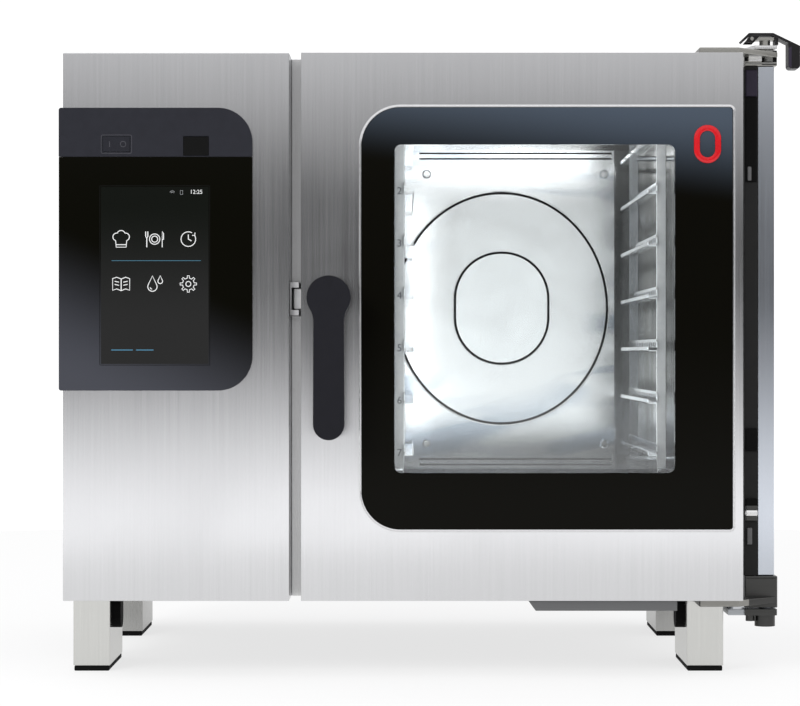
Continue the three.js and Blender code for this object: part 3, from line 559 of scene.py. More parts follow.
FINISHES = (
    BrushedMetal("casing_steel", (0.62, 0.622, 0.632), 0.18, contrast=0.06, anisotropy=0.9),
    BrushedMetal("top_steel", (0.62, 0.625, 0.635), 0.26, Axis.X, contrast=0.05, anisotropy=0.7),
    BrushedMetal("frame_steel", (0.6, 0.6, 0.6), 0.26, contrast=0.05),
    BrushedMetal("rim_steel", (0.68, 0.68, 0.69), 0.2, contrast=0.02, anisotropy=0.0),
    BrushedMetal("foot_steel", (0.62, 0.62, 0.6), 0.22, contrast=0.08, anisotropy=0.8),
    BrushedMetal("arm_steel", (0.3, 0.295, 0.275), 0.3, Axis.X, contrast=0.08, wear=0.5),
    # rear_foot_steel: the feet's steel made darker for the rear legs, as painted shade.
    BrushedMetal("rear_foot_steel", (0.4, 0.4, 0.39), 0.26, contrast=0.08, anisotropy=0.8),
    BrushedMetal("cast_steel", (0.07, 0.07, 0.068), 0.36, Axis.X, contrast=0.1, anisotropy=0.0, wear=0.4),
    Moulding("seam_grey", (0.4, 0.4, 0.405), 0.6),
    BrushedMetal("bracket_steel", (0.42, 0.44, 0.46), 0.3, Axis.X, wear=0.3),
    BrushedMetal("dark_sheet", (0.17, 0.172, 0.175), 0.38, Axis.X, contrast=0.08),
    BrushedMetal("post_anodised", (0.52, 0.55, 0.6), 0.2, contrast=0.04, anisotropy=0.9),
    # cavity_steel and suction_steel carry painted reflection streaks: dark ones on the chamber walls,
    # blue-grey ones on the suction panel.
    PolishedMetal(
        "cavity_steel", (0.86, 0.88, 0.91), 0.1, 0.004, 3.2, (0.3, 0.29, 0.27), (0.6, 19.0, 0.6), 0.7
    ),
    PolishedMetal(
        "suction_steel", (0.88, 0.885, 0.895), 0.17, 0.0022, 5.0, (0.4, 0.47, 0.57), (2.4, 2.0, 11.0), 0.75
    ),
    PolishedMetal("baffle_steel", (0.88, 0.89, 0.9), 0.2, 0.001, 5.0),
    PolishedMetal("rack_steel", (0.86, 0.87, 0.89), 0.16, 0.0003, 30.0),
    PolishedMetal("pipe_steel", (0.7, 0.7, 0.7), 0.2, 0.0004, 20.0),
    PolishedMetal("bright_pin", (0.82, 0.82, 0.82), 0.12, 0.0001, 60.0),
    Moulding("level_strip_white", (0.88, 0.89, 0.92), 0.4, shine=0.3),
    Moulding("digit_grey", (0.2, 0.21, 0.24), 0.6),
    Moulding("band_slate", (0.0135, 0.014, 0.0185), 0.38, depth=0.000012),
    Moulding("key_slate", (0.012, 0.0125, 0.0165), 0.32, depth=0.000012),
    Moulding("handle_charcoal", (0.0075, 0.0075, 0.0102), 0.42, 700.0, depth=0.000015),
    Moulding("black_coating", (0.009, 0.0085, 0.009), 0.42, wear=0.2),
    Moulding("plum_black", (0.022, 0.018, 0.03), 0.5),
    Moulding("plate_grey", (0.11, 0.11, 0.112), 0.5),
    Moulding("soft_black", (0.0045, 0.0045, 0.0045), 0.75, 500.0, 0.06, 0.00005),
    Moulding("channel_grey", (0.014, 0.014, 0.014), 0.6),
    # groove_dark: near black standing for the shade in grooves, hems, rolled edges and holes.
    Moulding("groove_dark", (0.012, 0.012, 0.013), 0.6, shine=0.06),
    PolishedMetal("dark_chrome", (0.24, 0.24, 0.23), 0.16, 0.0001, 60.0),
    Moulding("mark_grey", (0.045, 0.045, 0.052), 0.5),
    Moulding("element_dark", (0.1, 0.09, 0.085), 0.4, metallic=0.9),
    Moulding("badge_red", (0.42, 0.004, 0.008), 0.22, coat=0.5, depth=0.000005),
    Moulding("motor_grey", (0.16, 0.17, 0.18), 0.5, metallic=0.3, wear=0.3),
    Moulding("board_green", (0.015, 0.09, 0.04), 0.4),
    Moulding("chip_black", (0.01, 0.01, 0.011), 0.5),
    Moulding("brass_body", (0.62, 0.42, 0.16), 0.3, metallic=1.0, wear=0.3),
    Moulding("port_metal", (0.45, 0.45, 0.45), 0.35, metallic=1.0),
    # The second colour of each backed glass is painted reflection: paler towards the lower left of the touch
    # glass, bluish towards the top of the door glass, paler towards the bottom of the screen.
    BackedGlass(
        "touch_black", (0.0025, 0.0024, 0.0015), (0.046, 0.048, 0.058), (-0.45, 0.0, -1.0), -0.36, -0.17
    ),
    BackedGlass("door_black", (0.0028, 0.0026, 0.0018), (0.05, 0.064, 0.085), (0.12, 0.0, 1.0), 0.64, 0.76),
    BackedGlass(
        "screen_grey", (0.0045, 0.0052, 0.0042), (0.017, 0.017, 0.017), (0.0, 0.0, -1.0), -0.6, -0.44, 0.12
    ),
    ClearGlass("pane_clear"),
    LitMark("icon_white", (0.95, 0.96, 0.96), 1.0),
    LitMark("icon_dim", (0.5, 0.52, 0.53), 0.7),
    LitMark("icon_blue", (0.02, 0.2, 0.32), 0.8),
    LitMark("icon_sky", (0.05, 0.3, 0.5), 0.8),
    Wool("rock_wool", (0.35, 0.28, 0.14)),
)
MATERIALS: dict[str, bpy.types.Material] = {}


# ---------------------------------------------------------------- mesh kit


def arc(centre: tuple[float, float], radius: float, start: float, end: float, steps: int) -> Loop:
    """Points along an arc.

    Args:
        centre: its middle.
        radius: its radius.
        start: the angle that it starts at, in degrees.
        end: the angle that it ends at, in degrees.
        steps: how many straight steps it has.

    Returns:
        The points, both ends among them.
    """
    angles = [math.radians(start + (end - start) * i / steps) for i in range(steps + 1)]
    return [(centre[0] + radius * math.cos(a), centre[1] + radius * math.sin(a)) for a in angles]


def rounded_loop(
    low: tuple[float, float], high: tuple[float, float], radii: Sequence[float], steps: int = 10
) -> Loop:
    """Outline of a rounded rectangle, starting at the bottom left.

    Args:
        low: its lower left corner.
        high: its upper right corner.
        radii: corner radii at the bottom left, bottom right, top right and top left.
        steps: straight steps in each corner.

    Returns:
        The outline, with the same number of points whatever the radii are.
    """
    bl, br, tr, tl = (max(radius, 0.00002) for radius in radii)
    return (
        arc((low[0] + bl, low[1] + bl), bl, 180, 270, steps)
        + arc((high[0] - br, low[1] + br), br, 270, 360, steps)
        + arc((high[0] - tr, high[1] - tr), tr, 0, 90, steps)
        + arc((low[0] + tl, high[1] - tl), tl, 90, 180, steps)
    )


def round_loop(centre: tuple[float, float], radius: float, steps: int = 96) -> Loop:
    """Outline of a circle."""
    return arc(centre, radius, 0, 360 - 360 / steps, steps - 1)


def add_skin(bm: bmesh.types.BMesh, rings: Sequence[tuple[Loop, float]], closed: bool = False) -> None:
    """Joins outlines of X and Z points at different depths by strips of faces.

    Args:
        bm: the mesh to add to.
        rings: outlines with their depths, in order, all with the same number of points.
        closed: whether the last outline joins the first, or both ends get a face.
    """
    loops = [[bm.verts.new((x, y, z)) for x, z in outline] for outline, y in rings]
    pairs = list(zip(loops, loops[1:]))
    if closed:
        pairs.append((loops[-1], loops[0]))
    for first, second in pairs:
        for i, corner in enumerate(first):
            after = (i + 1) % len(first)
            bm.faces.new((corner, first[after], second[after], second[i]))
    if not closed:
        bm.faces.new(loops[0])
        bm.faces.new(loops[-1])
    bmesh.ops.recalc_face_normals(bm, faces=bm.faces)


def add_box(bm: bmesh.types.BMesh, low: Point, high: Point) -> list[bmesh.types.BMVert]:
    """Adds a box between two corners and returns its corners."""
    corners = bmesh.ops.create_cube(bm, size=1.0)["verts"]
    bmesh.ops.scale(bm, vec=Vector(high) - Vector(low), verts=corners)
    bmesh.ops.translate(bm, vec=(Vector(high) + Vector(low)) / 2, verts=corners)
    return corners


def add_rod(
    bm: bmesh.types.BMesh, start: Point, end: Point, radius: float, sides: int = 32, tip: float | None = None
) -> list[bmesh.types.BMVert]:
    """Adds a round bar or a cone.

    Args:
        bm: the mesh to add to.
        start: the middle of its first end.
        end: the middle of its other end.
        radius: its radius at the first end.
        sides: how many flats it has.
        tip: its radius at the other end, when that differs.

    Returns:
        Its corners.
    """
    along = Vector(end) - Vector(start)
    turn = Vector((0, 0, 1)).rotation_difference(along).to_matrix().to_4x4()
    middle = Matrix.Translation((Vector(start) + Vector(end)) / 2)
    made = bmesh.ops.create_cone(
        bm, cap_ends=True, segments=sides, radius1=radius, radius2=radius if tip is None else tip,
        depth=along.length, matrix=middle @ turn,
    )
    return made["verts"]


def add_hex_screw(bm: bmesh.types.BMesh, at: Point, out: Vector, size: float) -> None:
    """Adds a flanged hexagon screw head that stands out of a surface."""
    foot = Vector(at)
    add_rod(bm, foot, foot + out * size * 0.18, size * 0.72, 24)
    add_rod(bm, foot, foot + out * size * 0.62, size * 0.5, 6)


def sharp_edges(bm: bmesh.types.BMesh, degrees: float = 30.0) -> list[bmesh.types.BMEdge]:
    """Edges whose faces meet at more than an angle."""
    limit = math.radians(degrees)
    return [edge for edge in bm.edges if len(edge.link_faces) == 2 and edge.calc_face_angle() > limit]


def soften(bm: bmesh.types.BMesh, width: float, segments: int = 2, degrees: float = 30.0) -> None:
    """Rounds the sharp edges of a mesh."""
    bmesh.ops.bevel(
        bm, geom=sharp_edges(bm, degrees), offset=width, segments=segments, profile=0.5, affect="EDGES",
        clamp_overlap=True, material=-1,
    )


def node_mesh(node: str) -> bmesh.types.BMesh:
    """Copy of a CAD node's mesh with its loose triangles merged into flat faces."""
    bm = bmesh.new()
    bm.from_mesh(frame["nodes"][node].data)
    bmesh.ops.remove_doubles(bm, verts=bm.verts, dist=0.000005)
    bmesh.ops.dissolve_limit(
        bm, angle_limit=math.radians(0.6), use_dissolve_boundaries=False, verts=bm.verts, edges=bm.edges
    )
    return bm


def make_piece(
    name: str, bm: bmesh.types.BMesh, finish: str, like: str, replaces: bool = False, smooth: float = 32.0
) -> bpy.types.Object:
    """Turns a mesh into a shown piece.

    Args:
        name: the piece's name.
        bm: its mesh, which is freed.
        finish: the finish that it gets.
        like: the CAD node whose body it rides on.
        replaces: whether it stands for that node.
        smooth: the largest angle, in degrees, that is shaded smooth.

    Returns:
        The piece.
    """
    mesh = bpy.data.meshes.new(name)
    limit = math.radians(smooth)
    for face in bm.faces:
        face.smooth = True
    for edge in bm.edges:
        edge.smooth = len(edge.link_faces) == 2 and edge.calc_face_angle() <= limit
    bm.to_mesh(mesh)
    bm.free()
    piece = bpy.data.objects.new(name, mesh)
    bpy.context.scene.collection.objects.link(piece)
    mesh.materials.append(MATERIALS[finish])
    even = piece.modifiers.new("flats_stay_flat", "WEIGHTED_NORMAL")
    even.keep_sharp = True
    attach(piece, BODY_OF[like])
    if replaces:
        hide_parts(like)
    LOG.info("%s rides on %s, %d faces", name, BODY_OF[like], len(mesh.polygons))
    return piece


def softened_node(node: str, finish: str, width: float, segments: int = 2) -> bpy.types.Object:
    """Stands in for a CAD node with the same shape, its edges rounded.

    Args:
        node: the CAD node.
        finish: the finish that the piece gets.
        width: the width of the rounding, in metres.
        segments: the steps in the rounding.

    Returns:
        The piece.
    """
    bm = node_mesh(node)
    soften(bm, width, segments)
    return make_piece(f"{node}_shown", bm, finish, node, replaces=True)


def dress_node(node: str, finish: str) -> None:
    """Gives a CAD node its finish."""
    slots = frame["nodes"][node].material_slots
    for entry in slots:
        entry.material = MATERIALS[finish]


def line_piece(
    name: str, strokes: Sequence[tuple[Loop, bool]], y: float, radius: float, finish: str, like: str
) -> bpy.types.Object:
    """Draws marks as raised round lines on an upright surface.

    Args:
        name: the piece's name.
        strokes: outlines of X and Z points, each with whether it closes on itself.
        y: the depth of the surface.
        radius: half the width of a line.
        finish: the finish that the marks get.
        like: the CAD node that they ride with.

    Returns:
        The piece.
    """
    curve = bpy.data.curves.new(name, "CURVE")
    curve.dimensions = "3D"
    curve.bevel_depth = radius
    curve.bevel_resolution = 1
    curve.use_fill_caps = True
    for outline, closed in strokes:
        spline = curve.splines.new("POLY")
        spline.points.add(len(outline) - 1)
        for point, (x, z) in zip(spline.points, outline):
            point.co = (x, y, z, 1.0)
        spline.use_cyclic_u = closed
    holder = bpy.data.objects.new(f"{name}_curve", curve)
    bm = bmesh.new()
    bm.from_mesh(holder.to_mesh())
    bpy.data.objects.remove(holder)
    bmesh.ops.scale(bm, vec=(1.0, 0.35, 1.0), space=Matrix.Translation((0, -y, 0)), verts=bm.verts)
    bmesh.ops.remove_doubles(bm, verts=bm.verts, dist=0.000001)
    bmesh.ops.recalc_face_normals(bm, faces=bm.faces)
    return make_piece(name, bm, finish, like)


def text_mesh(text: str, size: float, at: Point, thickness: float) -> bmesh.types.BMesh:
    """Digits standing upright, facing the front.

    Args:
        text: the digits.
        size: the height of the type.
        at: the middle of the text.
        thickness: how far it stands out.

    Returns:
        Its mesh, in place.
    """
    curve = bpy.data.curves.new("digits", "FONT")
    curve.body = text
    curve.size = size
    curve.extrude = thickness / 2
    curve.align_x = "CENTER"
    curve.align_y = "CENTER"
    curve.resolution_u = 3
    holder = bpy.data.objects.new("digits_holder", curve)
    bpy.context.scene.collection.objects.link(holder)
    bpy.context.view_layer.update()
    bm = bmesh.new()
    bm.from_mesh(holder.evaluated_get(bpy.context.evaluated_depsgraph_get()).to_mesh())
    bpy.data.objects.remove(holder)
    bmesh.ops.remove_doubles(bm, verts=bm.verts, dist=0.000001)
    upright = Matrix.Translation(at) @ Matrix.Rotation(math.pi / 2, 4, "X")
    bmesh.ops.transform(bm, matrix=upright, verts=bm.verts)
    bmesh.ops.recalc_face_normals(bm, faces=bm.faces)
    return bm


def merge_into(target: bmesh.types.BMesh, other: bmesh.types.BMesh) -> None:
    """Adds one mesh to another and frees it."""
    holder = bpy.data.meshes.new("merged")
    other.to_mesh(holder)
    other.free()
    target.from_mesh(holder)
    bpy.data.meshes.remove(holder)


def span(node: str) -> tuple[Vector, Vector]:
    """Lowest and highest corners of a CAD node."""
    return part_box(node)


def plate(outlines: Sequence[Loop], thickness: float, place: Matrix) -> bmesh.types.BMesh:
    """Flat plate with holes.

    Args:
        outlines: its outer outline and then its holes, drawn in a plane.
        thickness: how thick it is.
        place: where the plane's X, Y and Z go; the plate lies on both sides of the plane.

    Returns:
        Its mesh, in place.
    """
    curve = bpy.data.curves.new("plate", "CURVE")
    curve.dimensions = "2D"
    curve.fill_mode = "BOTH"
    curve.extrude = thickness / 2
    for outline in outlines:
        spline = curve.splines.new("POLY")
        spline.points.add(len(outline) - 1)
        for point, (u, v) in zip(spline.points, outline):
            point.co = (u, v, 0.0, 1.0)
        spline.use_cyclic_u = True
    holder = bpy.data.objects.new("plate_holder", curve)
    bm = bmesh.new()
    bm.from_mesh(holder.to_mesh())
    bpy.data.objects.remove(holder)
    bmesh.ops.remove_doubles(bm, verts=bm.verts, dist=0.000001)
    bmesh.ops.transform(bm, matrix=place, verts=bm.verts)
    bmesh.ops.recalc_face_normals(bm, faces=bm.faces)
    return bm


def frame_around(low: Vector, high: Vector, grow: float, radius: float, steps: int) -> Loop:
    """Rounded rectangle around a box seen from the front, moved outwards by a distance."""
    return rounded_loop((low.x - grow, low.z - grow), (high.x + grow, high.z + grow), (radius,) * 4, steps)


def facing_front(y: float) -> Matrix:
    """Stands a drawing upright at a depth, so that its X and Y become the oven's X and Z."""
    return Matrix.Translation((0, y, 0)) @ Matrix.Rotation(math.pi / 2, 4, "X")


def facing_side(x: float) -> Matrix:
    """Stands a drawing along the oven, so that its X and Y become the oven's Y and Z."""
    turn = Matrix(((0, 0, 1, 0), (1, 0, 0, 0), (0, 1, 0, 0), (0, 0, 0, 1)))
    return Matrix.Translation((x, 0, 0)) @ turn


# ---------------------------------------------------------------- casing


@dataclass
class Casing:
    """Outer sheets, the frame around the mouth, the base and the wool behind them."""

    edge: float = 0.0005
    screw: float = 0.006
    sheets: dict[str, str] = field(default_factory=lambda: {
        "left_side_panel": "casing_steel",
        "right_side_panel": "casing_steel",
        "control_front_panel": "casing_steel",
        "rear_panel": "casing_steel",
        "front_frame": "frame_steel",
        "top_cover": "top_steel",
        "divider_panel": "frame_steel",
        "base_frame": "dark_sheet",
        "drip_tray": "dark_sheet",
    })

    def build(self) -> None:
        """Makes the pieces."""
        for node, finish in self.sheets.items():
            softened_node(node, finish, self.edge)
        dress_node("insulation", "rock_wool")
        self.screws()
        self.rating_plate()

    def screws(self) -> None:
        """Rows of screw heads that hold the rear and side sheets."""
        bm = bmesh.new()
        low, high = span("rear_panel")
        columns = [low.x + (high.x - low.x) * share for share in (0.012, 0.25, 0.5, 0.75, 0.988)]
        for x in columns:
            for z in (low.z + 0.02, high.z - 0.02):
                add_hex_screw(bm, (x, high.y, z), Vector((0, 1, 0)), self.screw)
        for node, side in (("left_side_panel", -1), ("right_side_panel", 1)):
            low, high = span(node)
            x = low.x if side < 0 else high.x
            for share in (0.06, 0.35, 0.65, 0.94):
                y = low.y + (high.y - low.y) * share
                add_hex_screw(bm, (x, y, low.z + 0.02), Vector((side, 0, 0)), self.screw)
        soften(bm, 0.0004, 1)
        make_piece("sheet_screws", bm, "bright_pin", "rear_panel")

    def rating_plate(self) -> None:
        """Blank plate riveted to the rear sheet, and the earth stud under it."""
        _, high = span("rear_panel")
        bm = bmesh.new()
        add_box(bm, (0.1, high.y, 0.3), (0.22, high.y + 0.001, 0.38))
        for x in (0.106, 0.214):
            for z in (0.306, 0.374):
                add_rod(bm, (x, high.y, z), (x, high.y + 0.002, z), 0.002, 16)
        add_rod(bm, (-0.2, high.y, 0.16), (-0.2, high.y + 0.014, 0.16), 0.004, 24)
        add_hex_screw(bm, (-0.2, high.y, 0.16), Vector((0, 1, 0)), 0.013)
        soften(bm, 0.0003, 1)
        make_piece("rating_plate", bm, "frame_steel", "rear_panel")


@dataclass
class Feet:
    """Four box legs on rubber pads, each with a levelling plug on its inner side."""

    plug: tuple[float, float, float] = (0.012, 0.034, 0.044)

    def build(self) -> None:
        """Makes the pieces."""
        for row in ("front", "rear"):
            for side, inward in (("left", 1), ("right", -1)):
                # The rear legs take a darker copy of the feet's steel: painted shade.
                finish = "foot_steel" if row == "front" else "rear_foot_steel"
                softened_node(f"foot_{row}_{side}", finish, 0.0012, 3)
                softened_node(f"foot_pad_{row}_{side}", "soft_black", 0.0015, 3)
                self.add_plug(row, side, inward)

    def add_plug(self, row: str, side: str, inward: int) -> None:
        """Adds the rounded plug at the top of a leg's inner side."""
        low, high = span(f"foot_{row}_{side}")
        x = high.x if inward > 0 else low.x
        y = low.y + 0.016
        reach, along, tall = self.plug
        bm = bmesh.new()
        outline = rounded_loop((y, high.z - tall), (y + along, high.z - 0.001), (0.014,) * 4)
        merge_into(bm, plate([outline], reach, facing_side(x + inward * reach / 2)))
        soften(bm, 0.002, 3, 50)
        make_piece(f"leg_plug_{row}_{side}", bm, "soft_black", f"foot_{row}_{side}")


# ---------------------------------------------------------------- control side


@dataclass
class ControlUnit:
    """Slate band with its switch and port, and the touch glass with its lit screen under it."""

    front: float = -0.346
    columns: tuple[float, float, float] = (-0.3926, -0.3506, -0.3084)
    rows: tuple[float, float] = (0.5515, 0.4953)
    icon: float = 0.0225
    line: float = 0.0006

    def build(self) -> None:
        """Makes the pieces."""
        self.band()
        softened_node("touch_glass", "touch_black", 0.0009, 3)
        softened_node("power_switch", "key_slate", 0.0006, 3)
        softened_node("usb_cover", "soft_black", 0.0008, 3)
        dress_node("display_module", "chip_black")
        self.switch_marks()
        self.port()
        self.screen()
        self.icons()
        self.status_line()

    def band(self) -> None:
        """Slate band with its corner rounded, a hole for the switch and a pocket for the port."""
        low, high = span("control_fascia")
        key_low, key_high = span("power_switch")
        flap_low, flap_high = span("usb_cover")
        edge = rounded_loop((low.x, low.z), (high.x, high.z), (0.0005, 0.0005, 0.043, 0.003), 16)
        slack = 0.0003
        key = frame_around(key_low, key_high, slack, 0.0006, 3)
        pocket = rounded_loop(
            (flap_low.x - slack, flap_low.z - slack), (flap_high.x + slack, flap_high.z + 0.001),
            (0.0008,) * 4, 3,
        )
        bm = plate([edge, key[::-1], pocket[::-1]], high.y - low.y, facing_front((low.y + high.y) / 2))
        soften(bm, 0.0005, 3, 60)
        floor = bmesh.new()
        near = (flap_low.x - 0.001, -0.3434, flap_low.z - 0.001)
        add_box(floor, near, (flap_high.x + 0.001, high.y, flap_high.z + 0.002))
        merge_into(bm, floor)
        make_piece("control_fascia_shown", bm, "band_slate", "control_fascia", replaces=True)

    def switch_marks(self) -> None:
        """Bar and ring of the on and off ends of the rocker, and the frame around it."""
        low, high = span("power_switch")
        y = low.y
        z = (low.z + high.z) / 2
        third = (high.x - low.x) / 4
        bar = [(low.x + third, z - 0.0036), (low.x + third, z + 0.0036)]
        ring = round_loop((high.x - third, z), 0.0034, 32)
        line_piece("switch_marks", [(bar, False), (ring, True)], y, 0.0005, "mark_grey", "power_switch")
        frame_line = frame_around(low, high, 0.002, 0.002, 6)
        line_piece("switch_frame", [(frame_line, True)], self.front, 0.0004, "mark_grey", "control_fascia")

    def port(self) -> None:
        """Data socket behind the flap."""
        low, high = span("usb_cover")
        x = (low.x + high.x) / 2
        z = (low.z + high.z) / 2
        shell = [
            rounded_loop((x - 0.0072, z - 0.0035), (x + 0.0072, z + 0.0035), (0.0008,) * 4, 4),
            rounded_loop((x - 0.0064, z - 0.0027), (x + 0.0064, z + 0.0027), (0.0004,) * 4, 4),
        ]
        bm = plate(shell, 0.0006, facing_front(-0.34365))
        add_box(bm, (x - 0.006, -0.3438, z + 0.0003), (x + 0.006, -0.3434, z + 0.0022))
        make_piece("data_socket", bm, "port_metal", "control_fascia")

    def screen(self) -> None:
        """Lit part of the glass and the dark line around it."""
        low, high = span("display_module")
        corner = 0.0008
        lit = frame_around(low, high, 0.0, corner, 4)
        make_piece("screen", plate([lit], 0.0002, facing_front(self.front)), "screen_grey", "touch_glass")
        around = frame_around(low, high, 0.0014, corner, 4)
        line_piece("screen_edge", [(around, True)], self.front, 0.0004, "soft_black", "touch_glass")

    def at(self, column: int, row: int) -> Callable[[float, float], tuple[float, float]]:
        """Places points of a picture drawn in a square from -1 to 1."""
        x, z, half = self.columns[column], self.rows[row], self.icon / 2
        return lambda u, v: (x + u * half, z + v * half)

    def icons(self) -> None:
        """Six pictures of what the oven can do."""
        strokes: list[tuple[Loop, bool]] = []
        strokes += self.cap(self.at(0, 0))
        strokes += self.dish(self.at(1, 0))
        strokes += self.dial(self.at(2, 0))
        strokes += self.book(self.at(0, 1))
        strokes += self.drops(self.at(1, 1))
        strokes += self.gear(self.at(2, 1))
        line_piece("screen_icons", strokes, self.front - 0.0001, self.line, "icon_white", "touch_glass")

    def curve(
        self, at: Callable, centre: tuple[float, float], radius: float, start: float, end: float
    ) -> Loop:
        """Arc inside a picture."""
        return [at(u, v) for u, v in arc(centre, radius, start, end, 16)]

    def cap(self, at: Callable) -> list[tuple[Loop, bool]]:
        """Cook's cap."""
        crown = (
            self.curve(at, (-0.5, 0.25), 0.42, 250, 75)
            + self.curve(at, (0.0, 0.5), 0.46, 160, 20)
            + self.curve(at, (0.5, 0.25), 0.42, 105, -70)
        )
        band = [at(-0.62, -0.15), at(-0.55, -0.9), at(0.55, -0.9), at(0.62, -0.15)]
        return [(crown, False), (band, False), ([at(-0.56, -0.62), at(0.56, -0.62)], False)]

    def dish(self, at: Callable) -> list[tuple[Loop, bool]]:
        """Plate between a fork and a knife."""
        rings = [(self.curve(at, (0, 0), r, 0, 337.5), True) for r in (0.58, 0.34)]
        fork = [([at(-0.88, -0.9), at(-0.88, 0.1)], False)]
        tines = [at(-1.0, 0.85), at(-1.0, 0.3), at(-0.88, 0.1), at(-0.76, 0.3), at(-0.76, 0.85)]
        knife = [at(0.84, -0.9), at(0.84, 0.85), at(0.98, 0.6), at(0.98, 0.0), at(0.84, -0.1)]
        return rings + fork + [(tines, False), (knife, False)]

    def dial(self, at: Callable) -> list[tuple[Loop, bool]]:
        """Clock with an arrow for a timed start."""
        ring = self.curve(at, (0, 0), 0.82, 60, 390)
        hands = [at(0.0, 0.5), at(0.0, 0.0), at(0.35, -0.2)]
        head = [at(0.42, 0.42), at(0.71, 0.41), at(0.74, 0.72)]
        return [(ring, False), (hands, False), (head, False)]

    def book(self, at: Callable) -> list[tuple[Loop, bool]]:
        """Open book."""
        left = [at(0, 0.55), at(-0.5, 0.75), at(-0.95, 0.6), at(-0.95, -0.7), at(-0.5, -0.55), at(0, -0.75)]
        right = [at(0, 0.55), at(0.5, 0.75), at(0.95, 0.6), at(0.95, -0.7), at(0.5, -0.55), at(0, -0.75)]
        spine = [at(0, 0.55), at(0, -0.75)]
        lines = [
            ([at(side * 0.25, v), at(side * 0.72, v + 0.1)], False)
            for side in (-1, 1) for v in (0.2, -0.15)
        ]
        return [(left, False), (right, False), (spine, False)] + lines

    def drops(self, at: Callable) -> list[tuple[Loop, bool]]:
        """Large and small drop for cleaning."""
        large = self.curve(at, (-0.25, -0.3), 0.52, 160, 380) + [at(-0.25, 0.9)]
        small = self.curve(at, (0.62, 0.3), 0.26, 160, 380) + [at(0.62, 0.92)]
        glint = self.curve(at, (-0.25, -0.3), 0.28, 200, 260)
        return [(large, True), (small, True), (glint, False)]

    def gear(self, at: Callable) -> list[tuple[Loop, bool]]:
        """Toothed wheel for the settings."""
        rim: Loop = []
        for tooth in range(8):
            turn = math.radians(45 * tooth)
            for share, reach in ((-0.19, 0.66), (-0.12, 0.92), (0.12, 0.92), (0.19, 0.66)):
                rim.append(at(reach * math.cos(turn + share), reach * math.sin(turn + share)))
        return [(rim, True), (self.curve(at, (0, 0), 0.28, 0, 337.5), True)]

    def status_line(self) -> None:
        """Clock and small signs at the top, the blue line, and the plain bars at the bottom."""
        y = self.front - 0.0001
        digits = text_mesh("12:25", 0.0072, (-0.2985, y, 0.6105), 0.0002)
        make_piece("screen_clock", digits, "icon_white", "touch_glass")
        signs = [
            (arc((-0.3285, 0.6085), 0.0035, 30, 150, 8), False),
            (arc((-0.3285, 0.6085), 0.0018, 30, 150, 8), False),
            ([(-0.3185, 0.6075), (-0.3185, 0.6125), (-0.3155, 0.6125), (-0.3155, 0.6075)], True),
        ]
        line_piece("screen_signs", signs, y, 0.0003, "icon_dim", "touch_glass")
        rule = [([(-0.4046, 0.5245), (-0.2926, 0.5245)], False)]
        line_piece("screen_rule", rule, y, 0.0004, "icon_blue", "touch_glass")
        bars = [([(-0.405, 0.4125), (-0.378, 0.4125)], False), ([(-0.374, 0.4125), (-0.352, 0.4125)], False)]
        line_piece("screen_bars", bars, y, 0.0006, "icon_sky", "touch_glass")


@dataclass
class ControlBay:
    """Boiler, boards, valves and connections behind the control side."""

    rounded: dict[str, tuple[str, float]] = field(default_factory=lambda: {
        "steam_generator": ("pipe_steel", 0.001),
        "control_board": ("board_green", 0.0004),
        "contactor_rail": ("motor_grey", 0.001),
        "solenoid_valve_soft": ("brass_body", 0.0008),
        "solenoid_valve_hard": ("brass_body", 0.0008),
        "cable_gland": ("soft_black", 0.0008),
    })

    def build(self) -> None:
        """Makes the pieces."""
        for node, (finish, width) in self.rounded.items():
            softened_node(node, finish, width)
        for node in ("steam_pipe", "drain_pipe", "exhaust_pipe"):
            softened_node(node, "pipe_steel", 0.0005)
        self.chip_covers()
        self.valve_threads()
        self.boiler_bands()

    def chip_covers(self) -> None:
        """Black cases over the board's parts, and the contactors' terminal screws."""
        bm = bmesh.new()
        low, _ = span("control_board")
        for x, z, size, height in ((-0.42, 0.42, 0.05, 0.022), (-0.3, 0.54, 0.044, 0.03)):
            top, rim = low.y + height, 0.0006
            near = (x - rim, top - 0.004, z - rim)
            add_box(bm, near, (x + size + rim, top + 0.0008, z + size + rim))
        soften(bm, 0.001, 2)
        make_piece("board_cases", bm, "chip_black", "control_board")
        bm = bmesh.new()
        for x in (-0.44, -0.392, -0.344):
            for step in range(3):
                add_hex_screw(bm, (x + 0.009 + 0.012 * step, 0.225, 0.415), Vector((0, -1, 0)), 0.006)
                add_hex_screw(bm, (x + 0.009 + 0.012 * step, 0.225, 0.355), Vector((0, -1, 0)), 0.006)
        make_piece("terminal_screws", bm, "bright_pin", "contactor_rail")

    def valve_threads(self) -> None:
        """Thread turns on the two water connections."""
        bm = bmesh.new()
        for node in ("solenoid_valve_soft", "solenoid_valve_hard"):
            low, high = span(node)
            x = (low.x + high.x) / 2
            for turn in range(6):
                y = high.y - 0.0025 - turn * 0.002
                add_rod(bm, (x, y - 0.0005, 0.19), (x, y + 0.0005, 0.19), 0.0136, 40)
        make_piece("valve_threads", bm, "brass_body", "solenoid_valve_soft")

    def boiler_bands(self) -> None:
        """Two clamps around the boiler and its level probes."""
        bm = bmesh.new()
        x, y = -0.3, 0.06
        for z in (0.2, 0.34):
            add_rod(bm, (x, y, z), (x, y, z + 0.012), 0.0765, 64)
            add_box(bm, (x - 0.008, y - 0.09, z), (x + 0.008, y - 0.07, z + 0.012))
        for shift in (-0.04, 0.04):
            add_rod(bm, (x + shift, y + 0.03, 0.418), (x + shift, y + 0.03, 0.445), 0.006, 6)
        soften(bm, 0.0006, 1)
        make_piece("boiler_bands", bm, "bracket_steel", "steam_generator")


# ---------------------------------------------------------------- door


